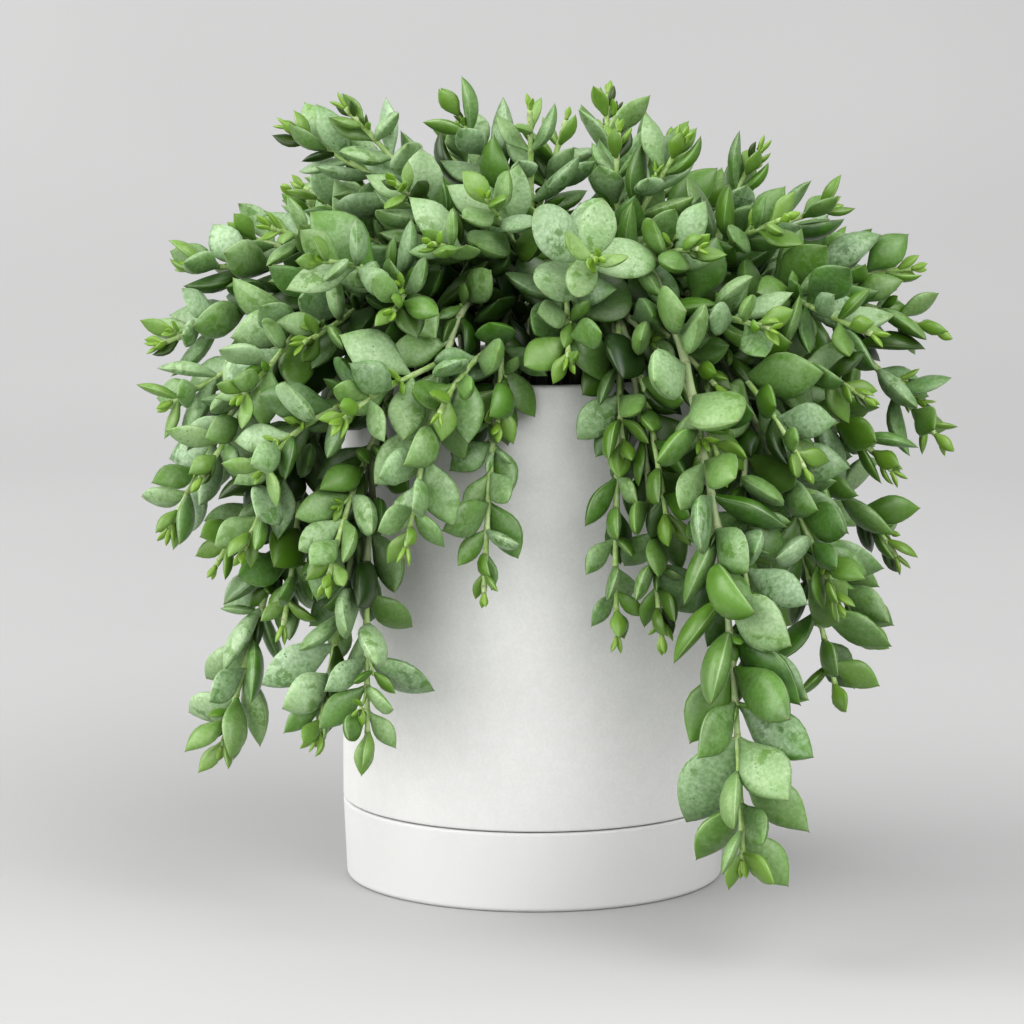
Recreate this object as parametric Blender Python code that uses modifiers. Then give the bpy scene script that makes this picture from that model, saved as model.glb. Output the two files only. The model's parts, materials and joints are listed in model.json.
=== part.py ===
"""A trailing cotyledon in a white cylinder pot with a matching saucer, in metres, +Z up.

The origin is the middle of the saucer's underside, and the front of the plant looks along -Y. The
pot nests in the saucer and is full of soil. Each rooted stem is one piece with its forks and
leaves, and stands in a plain hole in the soil. Stems and leaves grow by one seeded rule: a stem is
a smooth curve from its root to its tip, and its leaves stand in opposite pairs, each pair a quarter
turn from the last, wherever they find room. The solids hold the leaves that show, with few faces.
"""

import math
import random

import bmesh
import bpy
from mathutils import Matrix, Quaternion, Vector, kdtree
from mathutils.bvhtree import BVHTree

MM = 0.001

# Driving sizes of the pot, its saucer and the soil.
POT_RADIUS = 75 * MM
POT_TOP = 201 * MM
POT_WALL = 5.5 * MM
SAUCER_TOP = 31 * MM
SOIL_TOP = 184 * MM
FIT_GAP = 0.3 * MM

# Stems: how thick, how deep they root and how far they keep apart.
STEM_TIP_RADIUS = 0.95 * MM
STEM_BASE_RADIUS = 1.6 * MM
STEM_THICKENING = 180 * MM
STEM_CLEARANCE = 0.9 * MM
THREE_SIDED = 1.56
ROOT_DEPTH = 13 * MM
ROOT_SPACING = 8.5 * MM
ROOT_RING = 46 * MM
ROOT_REACH = 0.36
ROUTE_STEP = 4 * MM
ROUTE_DETAIL = 60
BENDING_ROUNDS = 60
BENDING_REACH = 1.3
BENDING_EASE = 0.25
ROUTE_SLACK = 1.1 * MM
BUD_LENGTH = 10 * MM
BUD_RADIUS = 2.2 * MM
RIM_CLEARANCE = 3.4 * MM

# How far a stem's curve keeps its first and last direction, as shares of its span. A stem that hangs
# rises further first and falls longer.
STEM_RISE = 0.42
STEM_TRAIL = 0.45
FORK_RISE = 0.32
FORK_TRAIL = 0.42
HANGING_RISE = 62 * MM
HANGING_TRAIL = 0.6
FORK_HANGING_TRAIL = 0.1
FORK_REACH = 4

# Leaf pairs, counted from a shoot's tip: the gap before each, in mm, and the length of its leaves.
PAIR_GAPS = (2.0, 3.2, 5.0, 7.5, 9.5, 11, 12)
LEAF_LENGTHS = (5.5, 9.5, 14.5, 20, 24.5, 27, 28)
YOUNG_PAIRS = 3
TIP_RIPENESS = (0, 0, 1, 2)
FIRST_GAP = 2.5 * MM
BARE_FOOT = 40 * MM
BARE_FORK = 8 * MM

# Leaf form, as shares of a leaf's length.
LEAF_ASPECT = 0.54
LEAF_PLUMPNESS = 0.2
UPPER_SHARE = 0.82
UNDER_SHARE = 1.18
NECK_RADIUS = 1.05 * MM
WIDEST_LATE = 1.18
THICKEST_LATE = 1.05
THICK_BLUNT = 0.62

# How leaves are held: shares of the way, of 1 at the leaf's full age, and spreads in radians.
YOUNG_OPENING = 0.45
YOUNG_WIDTH = 0.74
LIGHT_PULL = 0.26
SAG = 0.22
FACING_STEM = 0.45
FACING_LIGHT = 0.75
TURN_SPREAD = 0.14
OPENING_SPREAD = 0.16
ROLL_SPREAD = 0.35
USUAL_CURL = 0.25
CURL_SPREAD = 0.45
SWEEP_SPREAD = 0.07

# Where leaves may be.
LEAF_CLEARANCE = 0.25 * MM
POT_CLEARANCE = 1.2 * MM
FLOOR_CLEARANCE = 5 * MM
SHADE_RADIUS = 58 * MM
SHADE_HEIGHT = 46 * MM
CROWN_CENTRE_Z = 176 * MM
CROWN_HEIGHT = 75 * MM

# Where a leaf may go, in the order tried: turned about the stem, opened from it and twisted, in
# degrees, and its size.
LEAF_TRIES = (
    (0, 0, 0, 1.0), (12, 8, 10, 1.0), (-12, 8, -10, 1.0), (0, -14, 20, 1.0), (0, 20, -20, 0.97),
    (26, 0, 25, 0.95), (-26, 0, -25, 0.95), (18, 24, 0, 0.92), (-18, 24, 0, 0.92), (0, -24, 0, 0.9),
    (38, 10, 40, 0.88), (-38, 10, -40, 0.88), (20, -20, 45, 0.85), (-20, -20, -45, 0.85),
    (50, 5, 0, 0.8), (-50, 5, 0, 0.8), (10, 30, 30, 0.76), (-10, 30, -30, 0.76), (0, 0, 60, 0.7),
    (30, -25, -50, 0.66), (-30, -25, 50, 0.66),
)

UP = Vector((0, 0, 1))

# How the solids are made.
TURNED_SIDES = 36
SAUCER_FLOOR = 5 * MM
SAUCER_WALL = 5.2 * MM
SAUCER_FOOT_RADIUS = 73.6 * MM
FOOT_ROUND = 1.8 * MM
EDGE_ROUND = 0.9 * MM
RIM_ROUND = 1.6 * MM
SEAM = 0.7 * MM
DRAIN_RADIUS = 6 * MM
HOLE_RADIUS = 3.6 * MM
STEM_SIDES = 3
BUD_POINT_RADIUS = 0.2 * MM
LEAF_SINK = 0.8 * MM
LEAF_CREST = 0.42
LEAF_STATIONS = (0.33, 0.67)
KEPT_SHARE = 0.82
SMALLEST_PAIR = 3
LEAVES_IN_SOLIDS = 500
COVER_REACH = 40 * MM
JOIN_SOLVER = "EXACT"


class Shoot:
    """A stem and its leaves. tip is in mm, and dip says which way the tip points in degrees: 90 is
    up, 0 outward, -90 down. A shoot with a parent forks from it, at the share fork of its length.
    ripe is how many of the youngest pairs its tip has outgrown."""

    def __init__(self, name, tip, dip, parent=None, fork=0.5, turn=0, size=1.0, spread=54,
                 aspect=1.0, blunt=1.08, ripe=None):
        self.name = name
        self.tip = Vector(tip) * MM
        self.dip = math.radians(dip)
        self.parent = parent
        self.fork = fork
        self.turn = math.radians(turn)
        self.size = size
        self.spread = math.radians(spread)
        self.aspect = aspect
        self.blunt = blunt
        self.draw = random.Random(name)
        self.phase = self.draw.uniform(0, math.pi)
        self.ripe = self.draw.choice(TIP_RIPENESS) if ripe is None else ripe
        self.root = None
        self.trunk = None
        self.trunk_at = 0
        self.held = 1 if parent else 5
        self.route = []
        self.places = []
        self.leaves = []

    def length(self):
        return sum((b - a).length for a, b in zip(self.route, self.route[1:]))

    def bud_tip(self):
        return self.route[-1] + (self.route[-1] - self.route[-2]).normalized() * BUD_LENGTH


class Leaf:
    """A fleshy leaf. along, up and across are its own axes; curl bends it towards its upper face
    and sweep bends it sideways."""

    def __init__(self, base, along, up, length, width, thick, curl, sweep, blunt):
        self.base = base
        self.along = along
        self.up = up
        self.across = along.cross(up)
        self.length = length
        self.width = width
        self.thick = thick
        self.curl = curl
        self.sweep = sweep
        self.blunt = blunt

    def centre(self, u):
        bend = self.curl * u
        forward = math.sin(bend) / self.curl
        lift = (1 - math.cos(bend)) / self.curl
        aside = self.sweep * u * u
        return self.base + (self.along * forward + self.up * lift + self.across * aside) * self.length

    def upward(self, u):
        bend = self.curl * u
        return self.up * math.cos(bend) - self.along * math.sin(bend)

    def half_width(self, u):
        blade = 0.5 * self.width * max(math.sin(math.pi * u ** WIDEST_LATE), 0.0) ** self.blunt
        return math.hypot(blade, NECK_RADIUS * (1 - u) ** 3)

    def half_thick(self, u):
        blade = 0.5 * self.thick * max(math.sin(math.pi * u ** THICKEST_LATE), 0.0) ** THICK_BLUNT
        return math.hypot(blade, 0.85 * NECK_RADIUS * (1 - u) ** 3)

    def ring(self, u, sides, edge=1.3, grow=0.0):
        """The points round its section, share u of the way to its tip."""
        middle = self.centre(u)
        up = self.upward(u)
        wide = self.half_width(u) + grow
        thick = self.half_thick(u) + grow
        points = []
        for k in range(sides):
            angle = 2 * math.pi * k / sides
            height = math.sin(angle)
            share = math.copysign(abs(height) ** edge, height)
            share *= UPPER_SHARE if height > 0 else UNDER_SHARE
            points.append(middle + self.across * (wide * math.cos(angle)) + up * (thick * share))
        return points

    def cage(self):
        """A plain envelope of the leaf beyond its neck, which keeps its neighbours off."""
        rings = [self.ring(u, 8, 1.0, LEAF_CLEARANCE) for u in (0.3, 0.5, 0.7, 0.88)]
        return loft(rings, self.centre(0.14), self.centre(1.0))


def loft(rings, first, last):
    """Points and faces of a closed shape over rings of points, from the point first to last."""
    sides = len(rings[0])
    points = [first] + [p for ring in rings for p in ring] + [last]
    faces = [(0, 1 + (k + 1) % sides, 1 + k) for k in range(sides)]
    for r in range(len(rings) - 1):
        low = 1 + r * sides
        for k in range(sides):
            n = (k + 1) % sides
            faces.append((low + k, low + n, low + sides + n, low + sides + k))
    top = 1 + (len(rings) - 1) * sides
    faces += [(top + k, top + (k + 1) % sides, len(points) - 1) for k in range(sides)]
    return points, faces


def tube(points, radii, sides):
    """Points and faces of a closed tube round a line of points."""
    side = (points[1] - points[0]).orthogonal().normalized()
    rings = []
    for i, point in enumerate(points):
        ahead = (points[min(i + 1, len(points) - 1)] - points[max(i - 1, 0)]).normalized()
        side = (side - ahead * side.dot(ahead)).normalized()
        other = ahead.cross(side)
        ring = []
        for k in range(sides):
            angle = 2 * math.pi * k / sides
            ring.append(point + (side * math.cos(angle) + other * math.sin(angle)) * radii[i])
        rings.append(ring)
    return loft(rings, points[0], points[-1])


def bezier(a, b, c, d, t):
    s = 1 - t
    return a * s**3 + b * (3 * s * s * t) + c * (3 * s * t * t) + d * t**3


def evenly(points, step):
    """The line through points, cut anew into even stretches of about step."""
    marks = [0.0]
    for a, b in zip(points, points[1:]):
        marks.append(marks[-1] + (b - a).length)
    count = max(4, round(marks[-1] / step))
    made = []
    i = 0
    for k in range(count + 1):
        want = marks[-1] * k / count
        while i < len(points) - 2 and marks[i + 1] < want:
            i += 1
        made.append(points[i].lerp(points[i + 1], (want - marks[i]) / (marks[i + 1] - marks[i])))
    return made


def stem_radius(from_tip):
    share = min(from_tip / STEM_THICKENING, 1.0)
    return STEM_TIP_RADIUS + (STEM_BASE_RADIUS - STEM_TIP_RADIUS) * share


def stem_radii(shoot):
    """The stem's radius at each point of its route; a fork starts a little thinner than its parent."""
    radii = []
    left = shoot.length()
    for i, point in enumerate(shoot.route):
        if i:
            left -= (point - shoot.route[i - 1]).length
        radii.append(stem_radius(left))
    return radii


def plan_roots(shoots):
    """Where the rooted stems leave the soil: on the side of their tips, and well apart."""
    rooted = [s for s in shoots if s.parent is None]
    spots = []
    for s in rooted:
        flat = s.tip.xy
        spots.append(flat * min(ROOT_REACH, ROOT_RING / flat.length))
    for _ in range(60):
        for i, spot in enumerate(spots):
            for other in spots[i + 1:]:
                apart = spot - other
                short = ROOT_SPACING - apart.length
                if short > 0:
                    push = apart.normalized() * (short / 2)
                    spot += push
                    other -= push
    for s, spot in zip(rooted, spots):
        s.root = spot.to_3d()


def plan_route(shoot, by_name):
    """A stem's line: one smooth curve from its root or fork to its tip, straight up out of the soil."""
    out = shoot.tip.xy.to_3d().normalized()
    out.rotate(Quaternion(UP, shoot.turn))
    end_way = out * math.cos(shoot.dip) + UP * math.sin(shoot.dip)
    hang = max(0.0, -math.sin(shoot.dip))
    if shoot.parent is None:
        start = shoot.root + UP * (SOIL_TOP + MM)
        start_way = UP
        gap = (shoot.tip - start).length
        rise = gap * STEM_RISE + HANGING_RISE * hang
        trail = gap * (STEM_TRAIL + HANGING_TRAIL * hang)
        foot = [shoot.root + UP * (SOIL_TOP - ROOT_DEPTH)]
    else:
        trunk = by_name[shoot.parent]
        shoot.trunk = trunk
        shoot.trunk_at = round(shoot.fork * (len(trunk.route) - 1))
        start = trunk.route[shoot.trunk_at]
        trunk_way = (trunk.route[shoot.trunk_at + 1] - trunk.route[shoot.trunk_at - 1]).normalized()
        start_way = (trunk_way * 0.8 + (shoot.tip - start).normalized() * 0.7).normalized()
        gap = (shoot.tip - start).length
        rise = gap * FORK_RISE
        trail = gap * (FORK_TRAIL + FORK_HANGING_TRAIL * hang)
        foot = []
    leave = start + start_way * rise
    arrive = shoot.tip - end_way * trail
    curve = [bezier(start, leave, arrive, shoot.tip, k / ROUTE_DETAIL) for k in range(ROUTE_DETAIL + 1)]
    shoot.route = evenly(foot + curve, ROUTE_STEP)


def near_fork(a, i, b, j):
    """Whether two route points lie by the fork that joins their stems."""
    if b.parent == a.name:
        return j < FORK_REACH and abs(i - b.trunk_at) <= FORK_REACH
    if a.parent == b.name:
        return i < FORK_REACH and abs(j - a.trunk_at) <= FORK_REACH
    if a.parent is not None and a.parent == b.parent:
        return i < FORK_REACH and j < FORK_REACH and abs(a.trunk_at - b.trunk_at) <= FORK_REACH
    return False


def keep_off_rim(point):
    """Moves a point of a stem out of the pot's rim and off its outside."""
    far = point.xy.length
    low = POT_TOP + RIM_CLEARANCE - point.z
    wide = POT_RADIUS + RIM_CLEARANCE - far
    if low > 0 and wide > 0 and far > POT_RADIUS - POT_WALL - 2 * RIM_CLEARANCE:
        if low < wide:
            point.z += low
        else:
            point.xy *= (far + wide) / far


def bend_clear(shoots):
    """Bends stems that would cross apart, and off the pot. Roots and forks stay put."""
    apart = (2 * STEM_BASE_RADIUS + STEM_CLEARANCE) * BENDING_REACH
    for _ in range(BENDING_ROUNDS):
        places = [(s, i) for s in shoots for i in range(len(s.route))]
        tree = kdtree.KDTree(len(places))
        for n, (s, i) in enumerate(places):
            tree.insert(s.route[i], n)
        tree.balance()
        pushes = {}
        for n, (s, i) in enumerate(places):
            for near, m, gap in tree.find_range(s.route[i], apart):
                other, j = places[m]
                if other is s or near_fork(s, i, other, j):
                    continue
                away = (s.route[i] - near).normalized()
                pushes[n] = pushes.get(n, Vector()) + away * (0.5 * (apart - gap))
        for n, push in pushes.items():
            s, i = places[n]
            if i >= s.held:
                s.route[i] += push
        for s in shoots:
            smooth = [p.copy() for p in s.route]
            for i in range(s.held, len(s.route) - 1):
                smooth[i] = s.route[i].lerp((s.route[i - 1] + s.route[i + 1]) / 2, BENDING_EASE)
                keep_off_rim(smooth[i])
            s.route = smooth
        for s in shoots:
            if s.parent is not None:
                s.route[0] = s.trunk.route[s.trunk_at].copy()


def pair_places(shoot):
    """(index, point, direction) of each leaf pair, from the shoot's tip down to where it is bare."""
    reach = shoot.length() - (BARE_FORK if shoot.parent else BARE_FOOT)
    route = shoot.route
    k = len(route) - 1
    passed = 0.0
    from_tip = 0.0
    index = shoot.ripe
    places = []
    while True:
        from_tip += PAIR_GAPS[min(index, len(PAIR_GAPS) - 1)] * MM * (0.75 + 0.25 * shoot.size)
        if not places:
            from_tip = min(from_tip, FIRST_GAP)
        if from_tip > reach:
            return places
        while passed + (route[k] - route[k - 1]).length < from_tip:
            passed += (route[k] - route[k - 1]).length
            k -= 1
        point = route[k] + (route[k - 1] - route[k]).normalized() * (from_tip - passed)
        if index > YOUNG_PAIRS and in_shade(point):
            return places
        way = (route[min(k + 1, len(route) - 1)] - route[max(k - 2, 0)]).normalized()
        places.append((index, point, way))
        index += 1


def in_shade(point):
    """The heart of the crown, where leaves don't last."""
    far = point.xy.length / SHADE_RADIUS
    high = max(0.0, (point.z - CROWN_CENTRE_Z) / SHADE_HEIGHT)
    return far * far + high * high < 1.0


def towards_light(point):
    """Outward at the sides of the crown, and more and more upward to its top."""
    level = min(max((point.z - CROWN_CENTRE_Z) / CROWN_HEIGHT, 0.0), 1.0)
    out = point.xy.to_3d().normalized()
    return (out * (1 - 0.35 * level) + UP * (0.15 + 1.1 * level)).normalized()


def leaf_on(shoot, index, side, base, way, attempt):
    """The leaf of a pair, each pair a quarter turn from the last. Older leaves open out, turn to
    the light and sag; the youngest stand close round the tip."""
    turn, opening, twist, scale = attempt
    draw = random.Random(f"{shoot.name} {index} {side}")
    age = min(index / YOUNG_PAIRS, 1.0)
    hang = max(0.0, -way.z)
    length = LEAF_LENGTHS[min(index, len(LEAF_LENGTHS) - 1)] * MM
    length *= shoot.size * draw.uniform(0.82, 1.18) * scale
    aside = Vector((0.31, 0.17, 0.93)) if abs(way.z) < 0.7 else Vector((0.9, 0.38, 0.2))
    aside = (aside - way * aside.dot(way)).normalized()
    angle = shoot.phase + (index / 2 + side) * math.pi + draw.gauss(0, TURN_SPREAD)
    aside.rotate(Quaternion(way, angle + math.radians(turn)))
    opened = shoot.spread * (YOUNG_OPENING + (1 - YOUNG_OPENING) * age)
    opened += draw.gauss(0, OPENING_SPREAD) + math.radians(opening)
    light = towards_light(base)
    along = way * math.cos(opened) + aside * math.sin(opened)
    along = (along + light * (LIGHT_PULL * age) - UP * (SAG * age * hang)).normalized()
    inner = way - along * way.dot(along)
    lit = light - along * light.dot(along)
    up = inner.normalized() * FACING_STEM + lit * (FACING_LIGHT * age)
    up = (up - along * up.dot(along)).normalized()
    up.rotate(Quaternion(along, draw.gauss(0, ROLL_SPREAD) + math.radians(twist)))
    width = length * LEAF_ASPECT * shoot.aspect * draw.uniform(0.84, 1.16)
    width *= YOUNG_WIDTH + (1 - YOUNG_WIDTH) * age
    thick = length * LEAF_PLUMPNESS * draw.uniform(0.85, 1.2)
    curl = draw.gauss(USUAL_CURL, CURL_SPREAD) + 1e-4
    sweep = draw.gauss(0, SWEEP_SPREAD)
    blunt = shoot.blunt * draw.uniform(0.82, 1.15)
    leaf = Leaf(base, along, up, length, width, thick, curl, sweep, blunt)
    leaf.age = age
    leaf.index = index
    return leaf


def out_of_place(points):
    """Whether a leaf would touch the pot or come too near the floor."""
    for p in points:
        if p.z < FLOOR_CLEARANCE:
            return True
        if p.z < POT_TOP + POT_CLEARANCE and p.xy.length < POT_RADIUS + POT_CLEARANCE:
            return True
    return False


class Thicket:
    """What has grown so far, kept in cubes of space, so that a new leaf meets only what is near."""

    CUBE = 30 * MM

    def __init__(self):
        self.cubes = {}

    def cubes_of(self, points):
        spans = []
        for axis in range(3):
            low = min(p[axis] for p in points) // self.CUBE
            high = max(p[axis] for p in points) // self.CUBE
            spans.append(range(int(low), int(high) + 1))
        return [(x, y, z) for x in spans[0] for y in spans[1] for z in spans[2]]

    def add(self, shape, tag):
        entry = (BVHTree.FromPolygons(*shape), tag)
        for cube in self.cubes_of(shape[0]):
            self.cubes.setdefault(cube, []).append(entry)

    def meets(self, shape, ignored):
        mine = BVHTree.FromPolygons(*shape)
        for cube in self.cubes_of(shape[0]):
            for tree, tag in self.cubes.get(cube, ()):
                if tag not in ignored and mine.overlap(tree):
                    return True
        return False


def thinned(route, allowed):
    """Which points of a route a line of straight stretches needs to stay this near it."""
    kept = [0]
    for end in range(2, len(route)):
        start = kept[-1]
        chord = (route[end] - route[start]).normalized()
        for middle in route[start + 1:end]:
            aside = middle - route[start]
            if (aside - chord * aside.dot(chord)).length > allowed:
                kept.append(end - 1)
                break
    return kept + [len(route) - 1]


def add_stem(thicket, shoot):
    """A stem's envelope, which also holds the plainer three-sided stem of the solids."""
    radii = stem_radii(shoot)
    kept = thinned(shoot.route, ROUTE_SLACK)
    for a, b in zip(kept, kept[1:]):
        ends = [THREE_SIDED * radii[a] + LEAF_CLEARANCE, THREE_SIDED * radii[b] + LEAF_CLEARANCE]
        thicket.add(tube([shoot.route[a], shoot.route[b]], ends, 8), shoot.name)
    bud = [THREE_SIDED * BUD_RADIUS + LEAF_CLEARANCE] * 2
    thicket.add(tube([shoot.route[-1], shoot.bud_tip()], bud, 8), shoot.name)


def grow(shoots):
    """Routes the stems, then sets the leaves pair by pair from the tips inward, each clear of all
    that grew before it. A leaf that finds no room isn't grown."""
    by_name = {s.name: s for s in shoots}
    plan_roots(shoots)
    for s in shoots:
        plan_route(s, by_name)
    bend_clear(shoots)
    thicket = Thicket()
    for s in shoots:
        add_stem(thicket, s)
        s.places = pair_places(s)
    for level in range(max(len(s.places) for s in shoots)):
        for s in shoots:
            if level < len(s.places):
                for side in (0, 1):
                    grow_leaf(thicket, s, *s.places[level], side)


def grow_leaf(thicket, shoot, index, point, way, side):
    ignored = {shoot.name, (shoot.name, index, 1 - side)}
    for attempt in LEAF_TRIES:
        leaf = leaf_on(shoot, index, side, point, way, attempt)
        shape = leaf.cage()
        if not out_of_place(shape[0]) and not thicket.meets(shape, ignored):
            thicket.add(shape, (shoot.name, index, side))
            shoot.leaves.append(leaf)
            return


def front_shoots():
    """The shoots that show from the front, placed by hand, from the left round to the right."""
    return [
        Shoot("stem_crown_left", (-72, -30, 302), 42, spread=55),
        Shoot("crown_left_b", (-95, -5, 293), 35, "stem_crown_left", 0.62),
        Shoot("crown_left_c", (-52, -72, 276), 30, "stem_crown_left", 0.45),
        Shoot("stem_left_high", (-118, 0, 252), 12),
        Shoot("left_high_b", (-143, -32, 212), -15, "stem_left_high", 0.55),
        Shoot("left_high_c", (-100, -45, 258), 15, "stem_left_high", 0.5),
        Shoot("left_high_d", (-131, -12, 240), 5, "stem_left_high", 0.62),
        Shoot("left_high_e", (-86, -86, 218), -15, "stem_left_high", 0.4),
        Shoot("stem_left", (-138, -58, 145), -62),
        Shoot("left_b", (-137, -48, 192), -30, "stem_left", 0.6),
        Shoot("left_c", (-124, -85, 168), -48, "stem_left", 0.55),
        Shoot("left_d", (-108, -94, 200), -32, "stem_left", 0.45),
        Shoot("stem_left_tail", (-118, -72, 64), -72),
        Shoot("left_tail_b", (-120, -66, 132), -66, "stem_left_tail", 0.55),
        Shoot("left_tail_c", (-94, -84, 112), -74, "stem_left_tail", 0.6),
        Shoot("left_tail_d", (-108, -95, 142), -64, "stem_left_tail", 0.5),
        Shoot("stem_front_left_tail", (-81, -98, 72), -74),
        Shoot("front_left_tail_b", (-62, -108, 74), -80, "stem_front_left_tail", 0.58, turn=30),
        Shoot("front_left_tail_c", (-100, -110, 174), -55, "stem_front_left_tail", 0.45),
        Shoot("front_left_tail_d", (-76, -112, 134), -72, "stem_front_left_tail", 0.52),
        Shoot("stem_front_left", (-47, -125, 148), -64),
        Shoot("front_left_b", (-70, -120, 194), -42, "stem_front_left", 0.6),
        Shoot("stem_front_left_high", (-78, -100, 250), 5, size=1.05),
        Shoot("front_left_high_b", (-52, -108, 232), -10, "stem_front_left_high", 0.6),
        Shoot("stem_front", (-19, -105, 128), -78, size=0.78),
        Shoot("front_b", (-35, -120, 196), -50, "stem_front", 0.48),
        Shoot("front_c", (-14, -98, 190), -58, "stem_front", 0.45),
        Shoot("stem_rosette", (22, -118, 252), -6, size=0.98, spread=80, aspect=1.34, blunt=0.6,
              ripe=0),
        Shoot("rosette_b", (12, -98, 214), -48, "stem_rosette", 0.55),
        Shoot("stem_long_tail", (74, -160, 40), -78, turn=-20, size=1.2, ripe=2),
        Shoot("long_tail_b", (84, -124, 84), -78, "stem_long_tail", 0.62),
        Shoot("stem_front_right", (48, -112, 156), -70),
        Shoot("front_right_b", (32, -100, 182), -60, "stem_front_right", 0.55),
        Shoot("front_right_c", (66, -98, 204), -30, "stem_front_right", 0.42),
        Shoot("front_right_d", (67, -120, 176), -62, "stem_front_right", 0.5),
        Shoot("front_right_e", (46, -114, 114), -74, "stem_front_right", 0.62, size=0.9),
        Shoot("front_right_f", (30, -106, 112), -78, "stem_front_right", 0.5, size=0.78),
        Shoot("stem_right_front", (111, -112, 125), -58),
        Shoot("right_front_b", (77, -128, 122), -68, "stem_right_front", 0.62),
        Shoot("right_front_c", (85, -118, 227), -5, "stem_right_front", 0.4),
        Shoot("right_front_d", (98, -112, 175), -54, "stem_right_front", 0.5),
        Shoot("right_front_e", (122, -86, 198), -30, "stem_right_front", 0.44),
        Shoot("stem_right_tail", (114, -62, 84), -76),
        Shoot("right_tail_b", (124, -42, 104), -70, "stem_right_tail", 0.72),
        Shoot("right_tail_c", (135, -50, 166), -58, "stem_right_tail", 0.5),
        Shoot("right_tail_d", (139, -30, 130), -66, "stem_right_tail", 0.6),
        Shoot("stem_right", (155, -2, 214), -22),
        Shoot("right_b", (146, 2, 238), 5, "stem_right", 0.62),
        Shoot("right_c", (124, -90, 222), -12, "stem_right", 0.45),
        Shoot("right_d", (156, -16, 174), -48, "stem_right", 0.55),
        Shoot("stem_right_high", (113, 0, 262), 18),
        Shoot("right_high_b", (86, -12, 284), 38, "stem_right_high", 0.6),
        Shoot("right_high_c", (92, -62, 262), 20, "stem_right_high", 0.55),
        Shoot("stem_crown_right", (55, -52, 290), 52),
        Shoot("crown_right_b", (32, -20, 292), 65, "stem_crown_right", 0.6),
        Shoot("crown_right_c", (60, -95, 254), 8, "stem_crown_right", 0.45),
        Shoot("stem_crown", (-2, -40, 302), 66),
        Shoot("crown_b", (12, -8, 296), 76, "stem_crown", 0.62),
        Shoot("crown_c", (-30, -10, 300), 66, "stem_crown", 0.58),
        Shoot("crown_d", (-18, -84, 272), 32, "stem_crown", 0.45),
        Shoot("crown_e", (-38, -98, 256), 12, "stem_crown", 0.4),
    ]


BACK_STEMS = 9


def back_shoots():
    """The shoots behind, by a rule: each rooted stem there reaches one of three heights and forks twice."""
    draw = random.Random("behind")
    shoots = []
    for k in range(BACK_STEMS):
        azimuth = math.radians(8 + 164 * (k + 0.5) / BACK_STEMS + draw.uniform(-4, 4))
        kind = k % 3
        reach = (118, 128, 92)[kind] + draw.uniform(-8, 8)
        height = (112, 196, 276)[kind] + draw.uniform(-14, 14)
        dip = (-72, -32, 30)[kind]
        name = f"stem_back_{k + 1}"
        tip = (reach * math.cos(azimuth), reach * math.sin(azimuth), height)
        shoots.append(Shoot(name, tip, dip))
        for fork in (0, 1):
            swing = azimuth + math.radians((-11, 12)[fork] + draw.uniform(-4, 4))
            far = reach + (8, -22)[fork] + draw.uniform(-6, 6)
            lift = ((58, -38), (44, 62), (-34, 14))[kind][fork] + draw.uniform(-10, 10)
            tilt = ((-42, -74), (12, 30), (0, 55))[kind][fork]
            tip = (far * math.cos(swing), far * math.sin(swing), height + lift)
            shoots.append(Shoot(f"back_{k + 1}{'bc'[fork]}", tip, tilt, name, (0.5, 0.58)[fork]))
    return shoots


def choose_leaves(shoots):
    """Leaves the solids with LEAVES_IN_SOLIDS of the large leaves: the one most hidden by those
    outside it goes, over and over. The buds stand for the youngest pairs."""
    leaves = [leaf for s in shoots for leaf in s.leaves if leaf.index >= SMALLEST_PAIR]
    middles = [leaf.centre(0.6) for leaf in leaves]
    hides = [{} for leaf in leaves]
    hidden = [0.0] * len(leaves)
    for i, middle in enumerate(middles):
        out = towards_light(middle)
        for j, other in enumerate(middles):
            apart = other - middle
            if i != j and apart.length < COVER_REACH:
                share = leaves[j].length * (0.35 + max(0.0, apart.normalized().dot(out)))
                hides[j][i] = share
                hidden[i] += share
    kept = set(range(len(leaves)))
    while len(kept) > LEAVES_IN_SOLIDS:
        worst = max(sorted(kept), key=lambda i: hidden[i] / leaves[i].length)
        kept.remove(worst)
        for i, share in hides[worst].items():
            hidden[i] -= share
    chosen = {id(leaves[i]) for i in kept}
    for s in shoots:
        s.leaves = [leaf for leaf in s.leaves if id(leaf) in chosen]


def material(name, colour, roughness):
    made = bpy.data.materials.new(name)
    made.use_nodes = True
    shader = made.node_tree.nodes["Principled BSDF"]
    shader.inputs["Base Color"].default_value = (*colour, 1)
    shader.inputs["Roughness"].default_value = roughness
    shader.inputs["Metallic"].default_value = 0
    return made


def collection(name):
    made = bpy.data.collections.new(name)
    bpy.context.scene.collection.children.link(made)
    return made


def object_of(name, mesh, group, finish=None):
    if finish:
        mesh.materials.clear()
        mesh.materials.append(finish)
    made = bpy.data.objects.new(name, mesh)
    group.objects.link(made)
    return made


def turned(name, profile, group, finish, closed):
    """A profile of (radius, height) turned about Z. It runs down its outer side."""
    mesh = bpy.data.meshes.new(name)
    edges = [(i, i + 1) for i in range(len(profile) - 1)]
    if closed:
        edges.append((len(profile) - 1, 0))
    mesh.from_pydata([(r, 0, z) for r, z in profile], edges, [])
    made = object_of(name, mesh, group, finish)
    screw = made.modifiers.new("Turn", "SCREW")
    screw.steps = TURNED_SIDES
    screw.render_steps = TURNED_SIDES
    screw.use_merge_vertices = True
    screw.merge_threshold = 0.00001
    screw.use_smooth_shade = True
    return made


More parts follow.
